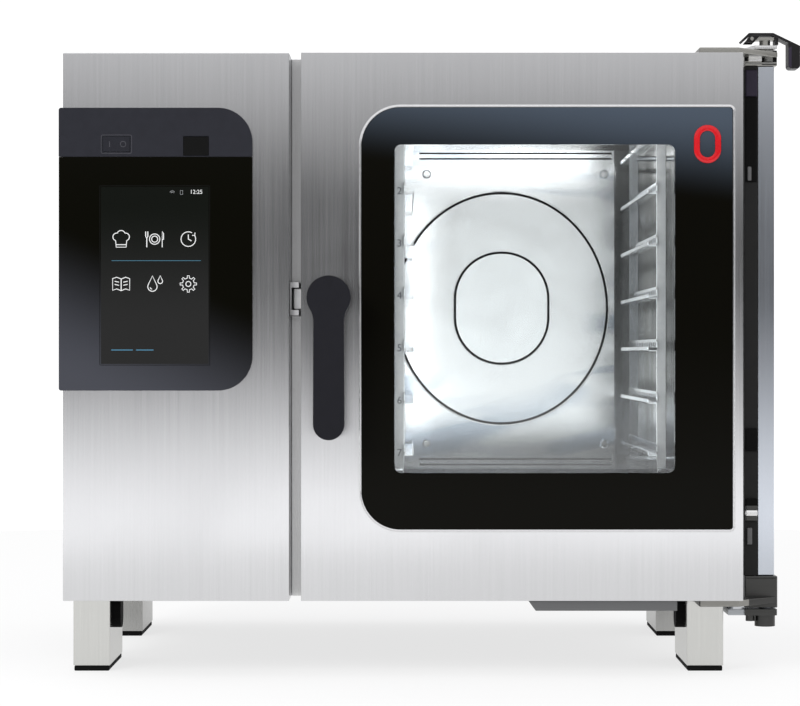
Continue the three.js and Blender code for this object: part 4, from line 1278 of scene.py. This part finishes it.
@dataclass
class Door:
    """Steel door leaf with its two panes, handle, badge and latch."""

    front: float = -0.341
    glass_low: tuple[float, float] = (-0.0912, 0.1875)
    glass_high: tuple[float, float] = (0.3744, 0.717)
    glass_radii: tuple[float, ...] = (0.049, 0.004, 0.004, 0.049)
    window_low: tuple[float, float] = (-0.0503, 0.2582)
    window_high: tuple[float, float] = (0.3019, 0.6704)
    window_radius: float = 0.009
    glass_thick: float = 0.005

    def build(self) -> None:
        """Makes the pieces."""
        softened_node("door_shell", "casing_steel", 0.0009, 3)
        softened_node("door_inner_frame", "frame_steel", 0.0006)
        softened_node("door_inner_glass", "pane_clear", 0.0008)
        softened_node("door_top_rail", "dark_sheet", 0.0006)
        softened_node("door_bottom_rail", "dark_sheet", 0.0006)
        softened_node("latch_housing", "dark_sheet", 0.001)
        softened_node("latch_bolt", "seam_grey", 0.0015, 3)
        softened_node("latch_catch", "seam_grey", 0.0006)
        self.glass()
        self.rim()
        self.handle()
        self.badge()
        self.inner_gasket()

    def outline(self, grow: float) -> Loop:
        """Edge of the front pane, made larger or smaller."""
        (x0, z0), (x1, z1) = self.glass_low, self.glass_high
        radii = tuple(radius + grow for radius in self.glass_radii)
        return rounded_loop((x0 - grow, z0 - grow), (x1 + grow, z1 + grow), radii, 16)

    def window(self, grow: float) -> Loop:
        """Edge of the clear part, made larger or smaller."""
        (x0, z0), (x1, z1) = self.window_low, self.window_high
        radii = (self.window_radius + grow,) * 4
        return rounded_loop((x0 - grow, z0 - grow), (x1 + grow, z1 + grow), radii, 16)

    def glass(self) -> None:
        """Front pane: a black printed border around a clear window."""
        y, back = self.front, self.front + self.glass_thick
        bm = bmesh.new()
        add_skin(bm, [
            (self.outline(-0.0006), y), (self.outline(0.0), y + 0.0006), (self.outline(0.0), back),
            (self.window(0.0), back), (self.window(0.0), y),
        ], closed=True)
        make_piece("glass_border", bm, "door_black", "door_outer_glass", replaces=True)
        bm = bmesh.new()
        add_skin(bm, [(self.window(-0.00005), y), (self.window(-0.00005), back)])
        make_piece("glass_window", bm, "pane_clear", "door_outer_glass")

    def rim(self) -> None:
        """Rolled edge of the steel around the glass, and the dark seal inside it."""
        y = self.front
        bm = bmesh.new()
        add_skin(bm, [
            (self.outline(0.0038), y + 0.0002), (self.outline(0.0032), y - 0.0004),
            (self.outline(0.0018), y - 0.0006), (self.outline(0.001), y + 0.0002),
            (self.outline(0.001), y + 0.0015), (self.outline(0.0038), y + 0.0015),
        ], closed=True)
        make_piece("glass_rim", bm, "rim_steel", "door_shell", smooth=60)
        bm = bmesh.new()
        add_skin(bm, [
            (self.outline(0.001), y + 0.0006), (self.outline(0.00005), y + 0.0006),
            (self.outline(0.00005), y + 0.004), (self.outline(0.001), y + 0.004),
        ], closed=True)
        make_piece("glass_seal", bm, "soft_black", "door_shell")

    def handle(self) -> None:
        """Paddle handle: a round head on a collar, a filleted neck and a slightly wider end."""
        low, _ = span("door_handle")
        x, z = -0.1312, 0.4773
        radius, neck, end, foot = 0.0272, 0.0188, 0.0193, low.z
        fillet = 0.03
        reach = math.sqrt((radius + fillet) ** 2 - (neck + fillet) ** 2)
        lean = math.degrees(math.atan2(reach, neck + fillet))
        head = arc((x, z), radius, -lean, 180 + lean, 64)
        left = arc((x - neck - fillet, z - reach), fillet, lean, 0, 10)
        tip = arc((x, foot + end), end, 180, 360, 40)
        right = arc((x + neck + fillet, z - reach), fillet, 180, 180 - lean, 10)
        bm = plate([head + left + tip + right], 0.016, facing_front(-0.388))
        soften(bm, 0.0035, 5, 60)
        add_rod(bm, (x, -0.381, z), (x, -0.3425, z), 0.0165, 64)
        add_rod(bm, (x, -0.35, z), (x, -0.342, z), 0.0169, 64)
        add_rod(bm, (x, -0.343, z), (x, -0.303, z), 0.0058, 32)
        make_piece("door_handle_shown", bm, "handle_charcoal", "door_handle", replaces=True, smooth=40)

    def badge(self) -> None:
        """Plain oval enamel badge at the top of the glass."""
        x, z, y = 0.3429, 0.671, self.front

        def oval(half: float, tall: float) -> Loop:
            """Upright oval around the badge's middle."""
            return rounded_loop((x - half, z - tall), (x + half, z + tall), (half,) * 4, 20)

        bm = bmesh.new()
        add_skin(bm, [
            (oval(0.017, 0.024), y + 0.0002), (oval(0.017, 0.024), y - 0.0008),
            (oval(0.0162, 0.0232), y - 0.0016), (oval(0.0102, 0.0172), y - 0.0016),
            (oval(0.0096, 0.0166), y - 0.0008), (oval(0.0096, 0.0166), y + 0.0002),
        ], closed=True)
        make_piece("badge_ring", bm, "badge_red", "door_outer_glass", smooth=60)

    def inner_gasket(self) -> None:
        """Black bead that holds the inner pane to its frame."""
        y = -0.2786

        def edge(grow: float) -> Loop:
            """Edge of the inner pane, made larger or smaller."""
            radii = (0.012 + grow,) * 4
            return rounded_loop((-0.058 - grow, 0.25 - grow), (0.31 + grow, 0.678 + grow), radii)

        bm = bmesh.new()
        add_skin(bm, [
            (edge(0.0), y), (edge(-0.003), y + 0.0006), (edge(-0.003), y + 0.002), (edge(0.0), y + 0.0026),
        ], closed=True)
        make_piece("pane_bead", bm, "soft_black", "door_inner_frame", smooth=60)


# ---------------------------------------------------------------- cavity


@dataclass
class Cavity:
    """Bright oven chamber with its suction panel, fan, racks and seal."""

    levels: int = 7
    top_level: float = 0.688
    pitch: float = 0.068
    middle: float = 0.126
    fan: tuple[float, float] = FAN_AXIS

    def build(self) -> None:
        """Makes the pieces."""
        softened_node("cavity_liner", "cavity_steel", 0.0004)
        self.suction_panel()
        softened_node("fan_wheel", "pipe_steel", 0.0004, 1)
        softened_node("fan_motor", "motor_grey", 0.0015, 3)
        softened_node("drain_strainer", "rack_steel", 0.0004)
        dress_node("heating_element", "element_dark")
        self.gasket()
        for side, sign in (("left", -1), ("right", 1)):
            self.rack(side, sign)
        self.motor_ribs()
        self.strainer_holes()
        self.core_probe()

    def ring(self, half: float, tall: float, wide: float, edge: float) -> Loop:
        """Outline of an elliptical ring around the fan's axis that stops at an upright edge.

        Args:
            half: its half width, on the outside.
            tall: its half height, on the outside.
            wide: how broad the ring's line is.
            edge: the X that it stops at on its left.

        Returns:
            The outline, out along the outer side and back along the inner one.
        """
        x, z = self.fan
        outline = []
        for shrink, way in ((0.0, 1), (wide, -1)):
            across, up = half - shrink, tall - shrink
            reach = math.acos(max(-0.9999, (edge - x) / across))
            turns = [way * reach * (2 * i / 96 - 1) for i in range(97)]
            outline += [(x + across * math.cos(a), z + up * math.sin(a)) for a in turns]
        return outline

    def suction_panel(self) -> None:
        """Panel before the fan with a pressed ring, hemmed ends and the flattened baffle; the ring's groove
        and the hems' creases are drawn dark as painted shade.
        """
        softened_node("suction_panel", "suction_steel", 0.0005)
        y = 0.247
        low, high = span("suction_panel")
        wing = -0.0595
        bm = bmesh.new()
        add_box(bm, (wing, y + 0.0002, low.z + 0.001), (low.x + 0.0008, y + 0.0016, high.z - 0.001))
        soften(bm, 0.0002, 1)
        make_piece("suction_wing", bm, "suction_steel", "suction_panel")
        # The pressed ring's groove is a dark band of painted shade beside a bright ridge.
        bm = bmesh.new()
        merge_into(bm, plate([self.ring(0.1578, 0.1718, 0.0034, wing)], 0.0016, facing_front(y + 0.0002)))
        soften(bm, 0.0003, 1, 50)
        make_piece("suction_ring", bm, "groove_dark", "suction_panel", smooth=50)
        bm = bmesh.new()
        merge_into(bm, plate([self.ring(0.1596, 0.1736, 0.0016, wing)], 0.002, facing_front(y + 0.0001)))
        soften(bm, 0.0003, 1, 50)
        make_piece("suction_ridge", bm, "bright_pin", "suction_panel", smooth=50)
        self.baffle()
        # Dark strips along the hemmed ends stand for the shade in their creases: painted shade.
        bm = bmesh.new()
        for z, outward in ((low.z, 1), (high.z, -1)):
            for step in (0.003, 0.011):
                a, b = sorted((z + outward * step, z + outward * (step + 0.0025)))
                add_box(bm, (low.x + 0.004, y - 0.0009, a), (high.x - 0.004, y + 0.001, b))
        make_piece("suction_hems", bm, "groove_dark", "suction_panel")
        bm = bmesh.new()
        for x in (low.x + 0.015, high.x - 0.015):
            for z in (low.z + 0.035, high.z - 0.035):
                add_rod(bm, (x, y - 0.004, z), (x, y + 0.0006, z), 0.005, 24, 0.007)
                add_rod(bm, (x, y - 0.007, z), (x, y - 0.004, z), 0.0035, 6)
        soften(bm, 0.0004, 1)
        make_piece("suction_pins", bm, "bright_pin", "suction_panel")

    def long_round(self, shrink: float) -> Loop:
        """Rounded outline of the baffle, taller than wide, made smaller."""
        x, z = self.fan
        half, tall = 0.071 - shrink, 0.084 - shrink
        return rounded_loop((x - half, z - tall), (x + half, z + tall), (0.07 - shrink,) * 4, 24)

    def baffle(self) -> None:
        """Rounded plate before the intake with a rolled edge drawn as a dark band of painted shade, on four
        studs.
        """
        low, high = span("intake_baffle")
        x, z = self.fan
        bm = bmesh.new()
        add_skin(bm, [
            (self.long_round(0.0), low.y + 0.0018), (self.long_round(0.0003), low.y + 0.0006),
            (self.long_round(0.0034), low.y + 0.0006), (self.long_round(0.004), low.y),
            (self.long_round(0.012), low.y),
        ])
        for side in (-1, 1):
            for up in (-1, 1):
                at = (x + side * 0.045, z + up * 0.05)
                add_rod(bm, (at[0], low.y + 0.001, at[1]), (at[0], high.y, at[1]), 0.003, 20)
        make_piece("intake_baffle_shown", bm, "baffle_steel", "intake_baffle", replaces=True, smooth=40)
        # The rolled edge's dark band is painted shade.
        y = low.y
        bm = bmesh.new()
        add_skin(bm, [
            (self.long_round(0.0003), y + 0.001), (self.long_round(0.0009), y - 0.0002),
            (self.long_round(0.003), y - 0.0002), (self.long_round(0.0036), y + 0.001),
        ], closed=True)
        make_piece("baffle_edge", bm, "groove_dark", "intake_baffle", smooth=60)

    def gasket(self) -> None:
        """Hollow bulb seal around the mouth."""
        low, high = span("door_gasket")

        def ring(shrink: float) -> Loop:
            """Loop around the mouth, made smaller."""
            return rounded_loop(
                (low.x + shrink, low.z + shrink), (high.x - shrink, high.z - shrink),
                (max(0.03 - shrink, 0.019),) * 4, 12,
            )

        bm = bmesh.new()
        add_skin(bm, [
            (ring(0.0), high.y), (ring(0.0003), high.y - 0.0016), (ring(0.0022), low.y + 0.0012),
            (ring(0.005), low.y + 0.0002), (ring(0.008), low.y + 0.0014), (ring(0.0108), high.y - 0.0016),
            (ring(0.0108), high.y),
        ], closed=True)
        make_piece("door_gasket_shown", bm, "soft_black", "door_gasket", replaces=True, smooth=70)

    def across(self, sign: int, *values: float) -> list[float]:
        """X positions given as distances from the middle of the chamber, in order."""
        return sorted(self.middle + sign * value for value in values)

    def rack(self, side: str, sign: int) -> None:
        """Shelf rack: perforated rails between two uprights, numbered by level on the left."""
        node = f"{side}_rack"
        inner, outer, lip = 0.1636, 0.1766, 0.1516
        front, rear, base, top = -0.223, 0.193, 0.232, 0.716
        bm = bmesh.new()
        for y in (front, rear):
            x0, x1 = self.across(sign, inner, outer)
            add_box(bm, (x0, y, base), (x1, y + 0.002, top))
            for z in (base + 0.024, top - 0.024):
                a, b = self.across(sign, inner + 0.002, 0.2097)
                add_rod(bm, (a, y + 0.001, z), (b, y + 0.001, z), 0.0038, 20)
        for level in range(self.levels):
            z = self.top_level - level * self.pitch
            self.rail(bm, sign, z, front - 0.006, rear + 0.004, inner, lip)
        soften(bm, 0.0003, 1, 60)
        make_piece(f"{node}_shown", bm, "rack_steel", node, replaces=True, smooth=25)
        self.level_strip(side, sign, front, base, top, inner, outer)

    def rail(
        self, bm: bmesh.types.BMesh, sign: int, z: float, front: float, rear: float, inner: float, lip: float
    ) -> None:
        """Adds one rail: an upright web with a row of slots, a ledge and a turned-up lip."""
        web = rounded_loop((front, z - 0.005), (rear, z + 0.011), (0.006, 0.006, 0.006, 0.006), 6)
        slots = []
        count = 16
        for i in range(count):
            y = front + 0.02 + i * (rear - front - 0.04) / (count - 1)
            slot = rounded_loop((y - 0.0075, z + 0.001), (y + 0.0075, z + 0.007), (0.0028,) * 4, 3)
            slots.append(slot[::-1])
        merge_into(bm, plate([web, *slots], 0.0014, facing_side(self.middle + sign * (inner + 0.0003))))
        x0, x1 = self.across(sign, lip, inner + 0.001)
        add_box(bm, (x0, front, z - 0.005), (x1, rear, z - 0.0035))
        x0, x1 = self.across(sign, lip, lip + 0.0015)
        add_box(bm, (x0, front, z - 0.005), (x1, rear, z + 0.001))

    def level_strip(
        self, side: str, sign: int, front: float, base: float, top: float, inner: float, outer: float
    ) -> None:
        """Enamelled face of the front upright, with the level numbers on the left one."""
        x0, x1 = self.across(sign, inner + 0.0008, outer - 0.0008)
        bm = bmesh.new()
        add_box(bm, (x0, front - 0.0006, base + 0.002), (x1, front + 0.0004, top - 0.002))
        soften(bm, 0.0002, 1)
        make_piece(f"level_strip_{side}", bm, "level_strip_white", f"{side}_rack")
        if side == "right":
            return
        bm = bmesh.new()
        for level in range(self.levels):
            z = self.top_level - level * self.pitch
            digit = text_mesh(str(level + 1), 0.0135, ((x0 + x1) / 2, front - 0.0006, z - 0.001), 0.0003)
            merge_into(bm, digit)
        make_piece("level_numbers", bm, "digit_grey", "left_rack")

    def motor_ribs(self) -> None:
        """Cooling ribs around the fan motor."""
        x, z = self.fan
        bm = bmesh.new()
        for rib in range(24):
            turn = 2 * math.pi * rib / 24
            corners = add_box(bm, (0.0565, 0.34, -0.0012), (0.0605, 0.366, 0.0012))
            place = Matrix.Translation((x, 0, z)) @ Matrix.Rotation(turn, 4, "Y")
            bmesh.ops.transform(bm, matrix=place, verts=corners)
        make_piece("motor_ribs", bm, "motor_grey", "fan_motor")

    def strainer_holes(self) -> None:
        """Dark discs standing for the slots in the strainer over the drain: painted shade."""
        bm = bmesh.new()
        for ring, count in ((0.007, 6), (0.014, 12)):
            for i in range(count):
                turn = 2 * math.pi * i / count
                x = self.middle + ring * math.cos(turn)
                y = ring * math.sin(turn)
                z = 0.2009 if ring < 0.01 else 0.2006
                add_rod(bm, (x, y, z - 0.002), (x, y, z + 0.0002), 0.0016, 12)
        make_piece("strainer_holes", bm, "groove_dark", "drain_strainer")

    def core_probe(self) -> None:
        """Looped cable holder of the core probe, low on the right wall."""
        x, y, z = 0.322, -0.205, 0.335
        bm = bmesh.new()
        outline = rounded_loop((y - 0.02, z - 0.033), (y + 0.02, z + 0.033), (0.0195,) * 4, 10)
        hole = rounded_loop((y - 0.0172, z - 0.0302), (y + 0.0172, z + 0.0302), (0.0167,) * 4, 10)[::-1]
        merge_into(bm, plate([outline, hole], 0.0028, facing_side(x)))
        soften(bm, 0.0011, 3, 60)
        for height in (0.26, 0.41):
            add_rod(bm, (x - 0.001, y, height), (0.336, y, height), 0.0028, 16)
        add_rod(bm, (x, y, z + 0.03), (x, y, 0.412), 0.0014, 12)
        add_rod(bm, (x, y, 0.258), (x, y, z - 0.03), 0.0014, 12)
        make_piece("core_probe", bm, "rack_steel", "cavity_liner", smooth=50)


# ---------------------------------------------------------------- slide-back hinge


@dataclass
class Hinge:
    """Post that carries the door, its arms, brackets and the release lever."""

    x: float = 0.427
    y: float = -0.251

    def build(self) -> None:
        """Makes the pieces."""
        softened_node("hinge_post", "post_anodised", 0.0016, 3)
        softened_node("hinge_channel", "channel_grey", 0.0008, 3)
        softened_node("upper_arm", "arm_steel", 0.0011, 3)
        softened_node("lower_arm", "cast_steel", 0.0013, 3)
        softened_node("upper_bracket", "pipe_steel", 0.0008, 3)
        softened_node("lower_bracket", "bracket_steel", 0.0012, 3)
        softened_node("lever_mount", "arm_steel", 0.0006, 3)
        self.channel_fittings()
        self.knuckles()
        self.lever()

    def channel_fittings(self) -> None:
        """Stop block, rollers and stop plates in the channel beside the post."""
        bm = bmesh.new()
        add_box(bm, (0.4, -0.2705, 0.738), (0.4152, -0.262, 0.772))
        soften(bm, 0.0016, 3)
        make_piece("channel_block", bm, "plum_black", "hinge_channel")
        bm = bmesh.new()
        add_box(bm, (0.4, -0.268, 0.628), (0.4152, -0.262, 0.7375))
        add_box(bm, (0.4, -0.27, 0.283), (0.4152, -0.262, 0.312))
        add_box(bm, (0.4, -0.2715, 0.212), (0.4152, -0.262, 0.222))
        soften(bm, 0.0012, 2)
        make_piece("channel_covers", bm, "soft_black", "hinge_channel")
        bm = bmesh.new()
        add_rod(bm, (0.4004, -0.2675, 0.2035), (0.4148, -0.2675, 0.2035), 0.0055, 40)
        add_rod(bm, (0.3996, -0.2675, 0.2035), (0.4156, -0.2675, 0.2035), 0.003, 20)
        soften(bm, 0.0008, 2)
        make_piece("channel_roller", bm, "pipe_steel", "hinge_channel")
        bm = bmesh.new()
        for z in (0.1965, 0.2105):
            add_box(bm, (0.4, -0.2722, z - 0.0028), (0.4152, -0.262, z + 0.0028))
        soften(bm, 0.0012, 3)
        make_piece("channel_jaws", bm, "cast_steel", "hinge_channel")
        bm = bmesh.new()
        for low, high in (((0.4025, 0.63), (0.4075, 0.648)), ((0.402, 0.163), (0.4085, 0.1845))):
            add_box(bm, (low[0], -0.2695, low[1]), (high[0], -0.2655, high[1]))
        soften(bm, 0.0012, 3)
        make_piece("channel_plates", bm, "plate_grey", "hinge_channel")

    def knuckles(self) -> None:
        """Bearing rings, screws and the pale blocks on both knuckles, with thin dark plates and a dark bar
        on the upper knuckle as painted shade.
        """
        bm = bmesh.new()
        for z0, z1 in ((0.7985, 0.7989), (0.7776, 0.7784)):
            add_rod(bm, (self.x, self.y, z0), (self.x, self.y, z1), 0.0112, 48)
        add_box(bm, (0.4045, -0.2675, 0.7835), (0.421, -0.262, 0.7945))
        soften(bm, 0.0006, 2)
        make_piece("upper_knuckle_parts", bm, "bright_pin", "upper_arm")
        bm = bmesh.new()
        add_rod(bm, (0.4298, -0.2625, 0.7828), (0.4298, -0.2625, 0.7968), 0.0074, 48)
        # The thin dark bar along the arm's lower edge stands for the shade line between the arm and the
        # post: painted shade.
        add_box(bm, (0.4004, -0.2655, 0.7795), (0.4406, -0.2635, 0.7824))
        soften(bm, 0.0006, 2)
        make_piece("upper_knuckle_barrel", bm, "dark_chrome", "upper_arm")
        # Thin black plates behind the barrel and beside the pale block: painted shade.
        bm = bmesh.new()
        add_box(bm, (0.4213, -0.2645, 0.7785), (0.4408, -0.2632, 0.7972))
        add_box(bm, (0.399, -0.267, 0.7835), (0.4035, -0.2635, 0.7965))
        soften(bm, 0.0005, 2)
        make_piece("upper_knuckle_shade", bm, "soft_black", "upper_arm")
        bm = bmesh.new()
        casting = rounded_loop((0.3995, -0.2715), (0.4405, -0.2662), (0.0008, 0.0045, 0.0004, 0.0004), 8)
        merge_into(bm, plate([casting], 0.036, Matrix.Translation((0, 0, 0.1015))))
        soften(bm, 0.0012, 3, 50)
        make_piece("lower_knuckle_casting", bm, "cast_steel", "lower_arm", smooth=40)
        bm = bmesh.new()
        band = [
            (0.3362, -0.3203), (0.3852, -0.3203), (0.3994, -0.3071), (0.3994, -0.3055), (0.3848, -0.319),
            (0.3362, -0.319),
        ]
        merge_into(bm, plate([band], 0.0077, Matrix.Translation((0, 0, 0.0923))))
        soften(bm, 0.0003, 1)
        make_piece("lower_arm_face", bm, "arm_steel", "lower_arm")
        bm = bmesh.new()
        add_rod(bm, (self.x, self.y, 0.0572), (self.x, self.y, 0.0718), 0.0131, 56)
        add_rod(bm, (0.4075, -0.2555, 0.064), (0.4075, -0.2555, 0.0722), 0.0058, 32)
        foot = rounded_loop((0.399, -0.2706), (0.4405, -0.2648), (0.0008, 0.004, 0.0004, 0.0004), 8)
        merge_into(bm, plate([foot], 0.0078, Matrix.Translation((0, 0, 0.0762))))
        soften(bm, 0.0008, 2, 50)
        make_piece("lower_bracket_casting", bm, "cast_steel", "lower_bracket", smooth=40)
        bm = bmesh.new()
        for node_x in (0.3515, 0.3715):
            add_rod(bm, (node_x, -0.2855, 0.795), (node_x, -0.2855, 0.7964), 0.0045, 32)
        soften(bm, 0.0004, 2)
        make_piece("shoe_rivets", bm, "bracket_steel", "upper_arm")

    def lever(self) -> None:
        """Bent release lever between two slanted cheeks, with a rounded hand grip."""
        top = [(0.395, 0.8105), (0.405, 0.82), (0.4363, 0.82), (0.471, 0.8033)]
        grip = arc((0.4665, 0.7787), 0.0045, 0, -90, 6) + arc((0.4601, 0.7787), 0.0045, 270, 180, 6)
        under = [(0.4556, 0.8068), (0.4353, 0.8168), (0.4065, 0.8168), (0.3972, 0.8083)]
        bm = plate([top + grip + under], 0.026, facing_front(self.y))
        cheek = [(0.4, 0.8078), (0.4115, 0.8078), (0.4205, 0.818), (0.4085, 0.818)]
        bore = round_loop((0.409, 0.8129), 0.0025, 32)[::-1]
        for side in (-1, 1):
            merge_into(bm, plate([cheek, bore], 0.0024, facing_front(self.y + side * 0.0117)))
        lug = [(0.4387, 0.8049), (0.443, 0.8049), (0.443, 0.8136), (0.4387, 0.8157)]
        merge_into(bm, plate([lug], 0.022, facing_front(self.y)))
        soften(bm, 0.0007, 2, 40)
        make_piece("release_lever_shown", bm, "black_coating", "release_lever", replaces=True)
        bm = bmesh.new()
        face = [(0.4557, 0.801), (0.4557, 0.779), (0.4566, 0.7762), (0.4601, 0.7755), (0.4601, 0.803)]
        merge_into(bm, plate([face], 0.0266, facing_front(self.y)))
        soften(bm, 0.0008, 2, 40)
        make_piece("lever_grip", bm, "plum_black", "release_lever", smooth=50)


# ---------------------------------------------------------------- studio


@dataclass(frozen=True)
class SoftBox:
    """Rectangular lamp that points at a target."""

    name: str
    place: Point
    target: Point
    width: float
    height: float
    power: float
    mirrored: bool = False

    def build(self) -> None:
        """Makes the lamp."""
        lamp = bpy.data.lights.new(self.name, "AREA")
        lamp.shape = "RECTANGLE"
        lamp.size = self.width
        lamp.size_y = self.height
        lamp.energy = self.power
        holder = bpy.data.objects.new(self.name, lamp)
        holder.location = self.place
        aim = Vector(self.target) - Vector(self.place)
        holder.rotation_euler = aim.to_track_quat("-Z", "Y").to_euler()
        holder.visible_glossy = self.mirrored
        holder.visible_camera = False
        holder.visible_transmission = False
        bpy.context.scene.collection.objects.link(holder)


@dataclass
class Studio:
    """White room, lamps and camera."""

    lamps: tuple[SoftBox, ...] = (
        SoftBox("key", (-1.9, -3.0, 1.9), (0.0, 0.0, 0.4), 1.2, 1.2, 75.0),
        SoftBox("fill", (2.4, -3.2, 1.2), (0.0, 0.0, 0.35), 1.8, 1.8, 22.0),
        SoftBox("chamber_front", (0.126, -0.268, 0.5), (0.126, 0.24, 0.5), 0.34, 0.42, 0.27, True),
        SoftBox("chamber_side", (-0.015, -0.262, 0.47), (0.336, 0.05, 0.47), 0.02, 0.4, 0.1, True),
        SoftBox("chamber_top", (0.126, -0.262, 0.722), (0.126, 0.24, 0.52), 0.3, 0.02, 0.08, True),
    )
    bands: tuple[tuple[float, float], ...] = (
        (0.0, 1.35), (0.474, 1.6), (0.486, 0.86), (0.503, 0.09),
        (0.529, 0.03), (0.555, 0.8), (0.6, 1.15), (1.0, 1.2),
    )

    def build(self) -> None:
        """Makes the floor, the surroundings, the lamps and the camera."""
        bpy.context.scene.view_settings.view_transform = "Standard"
        self.floor()
        self.surroundings()
        for lamp in self.lamps:
            lamp.build()
        self.camera()

    def floor(self) -> None:
        """Wide white floor."""
        mesh = bpy.data.meshes.new("studio_floor")
        bm = bmesh.new()
        bmesh.ops.create_circle(bm, cap_ends=True, segments=96, radius=2.6)
        bm.to_mesh(mesh)
        bm.free()
        floor = bpy.data.objects.new("studio_floor", mesh)
        bpy.context.scene.collection.objects.link(floor)
        material, wire, shader = new_material("studio_white")
        patches = place_group(wire, "smudges", Size=0.4)
        tone = shade_between(wire, patches.outputs["Mask"], (0.19, 0.19, 0.19), (0.2, 0.2, 0.2))
        wire.link(tone, shader.inputs["Base Color"])
        shader.inputs["Roughness"].default_value = 1.0
        shader.inputs["Specular IOR Level"].default_value = 0.0
        shader.inputs["Emission Color"].default_value = (1.0, 1.0, 1.0, 1.0)
        shader.inputs["Emission Strength"].default_value = 0.74
        mesh.materials.append(material)

    def surroundings(self) -> None:
        """White behind the oven, and a room of brighter and darker bands in its reflections."""
        world = bpy.data.worlds.new("studio")
        bpy.context.scene.world = world
        world.use_nodes = True
        tree = world.node_tree
        tree.nodes.clear()
        wire = Nodes(tree)
        place = wire.add("ShaderNodeTexCoord").outputs["Generated"]
        parts = wire.add("ShaderNodeSeparateXYZ")
        wire.link(place, parts.inputs[0])
        rise = wire.add("ShaderNodeMapRange")
        rise.inputs["From Min"].default_value = -1.0
        wire.link(parts.outputs["Z"], rise.inputs["Value"])
        ramp = wire.add("ShaderNodeValToRGB")
        wire.link(rise.outputs["Result"], ramp.inputs["Fac"])
        points = ramp.color_ramp.elements
        while len(points) < len(self.bands):
            points.new(0.5)
        for point, (where, level) in zip(points, self.bands):
            point.position = where
            point.color = (level, level, level * 1.01, 1.0)
        seen = wire.add("ShaderNodeLightPath")
        room = wire.add("ShaderNodeBackground")
        wire.link(ramp.outputs["Color"], room.inputs["Color"])
        white = wire.add("ShaderNodeBackground")
        white.inputs["Color"].default_value = (1.0, 1.0, 1.0, 1.0)
        white.inputs["Strength"].default_value = 1.1
        mix = wire.add("ShaderNodeMixShader")
        wire.link(seen.outputs["Is Camera Ray"], mix.inputs[0])
        wire.link(room.outputs[0], mix.inputs[1])
        wire.link(white.outputs[0], mix.inputs[2])
        wire.link(mix.outputs[0], wire.add("ShaderNodeOutputWorld").inputs["Surface"])

    def camera(self) -> None:
        """Long lens in front of the oven, level with its middle."""
        lens = bpy.data.cameras.new("camera")
        lens.lens = 118.3
        lens.sensor_width = 36.0
        lens.shift_x = -0.0075
        lens.shift_y = 0.00125
        lens.clip_end = 60.0
        camera = bpy.data.objects.new("camera", lens)
        camera.location = (-0.0356, -3.641, 0.4075)
        camera.rotation_euler = (math.pi / 2, 0.0, 0.0)
        bpy.context.scene.collection.objects.link(camera)
        bpy.context.scene.camera = camera


# ---------------------------------------------------------------- assembly


def main() -> None:
    """Builds the finishes, the oven and the studio."""
    logging.basicConfig(level=logging.INFO, format="%(name)s: %(message)s")
    build_groups()
    for finish in FINISHES:
        MATERIALS[finish.name] = finish.material()
    for part in (Casing(), Feet(), ControlUnit(), ControlBay(), Door(), Cavity(), Hinge(), Studio()):
        part.build()
        LOG.info("%s is built", type(part).__name__)


if __name__ == "__main__":
    main()
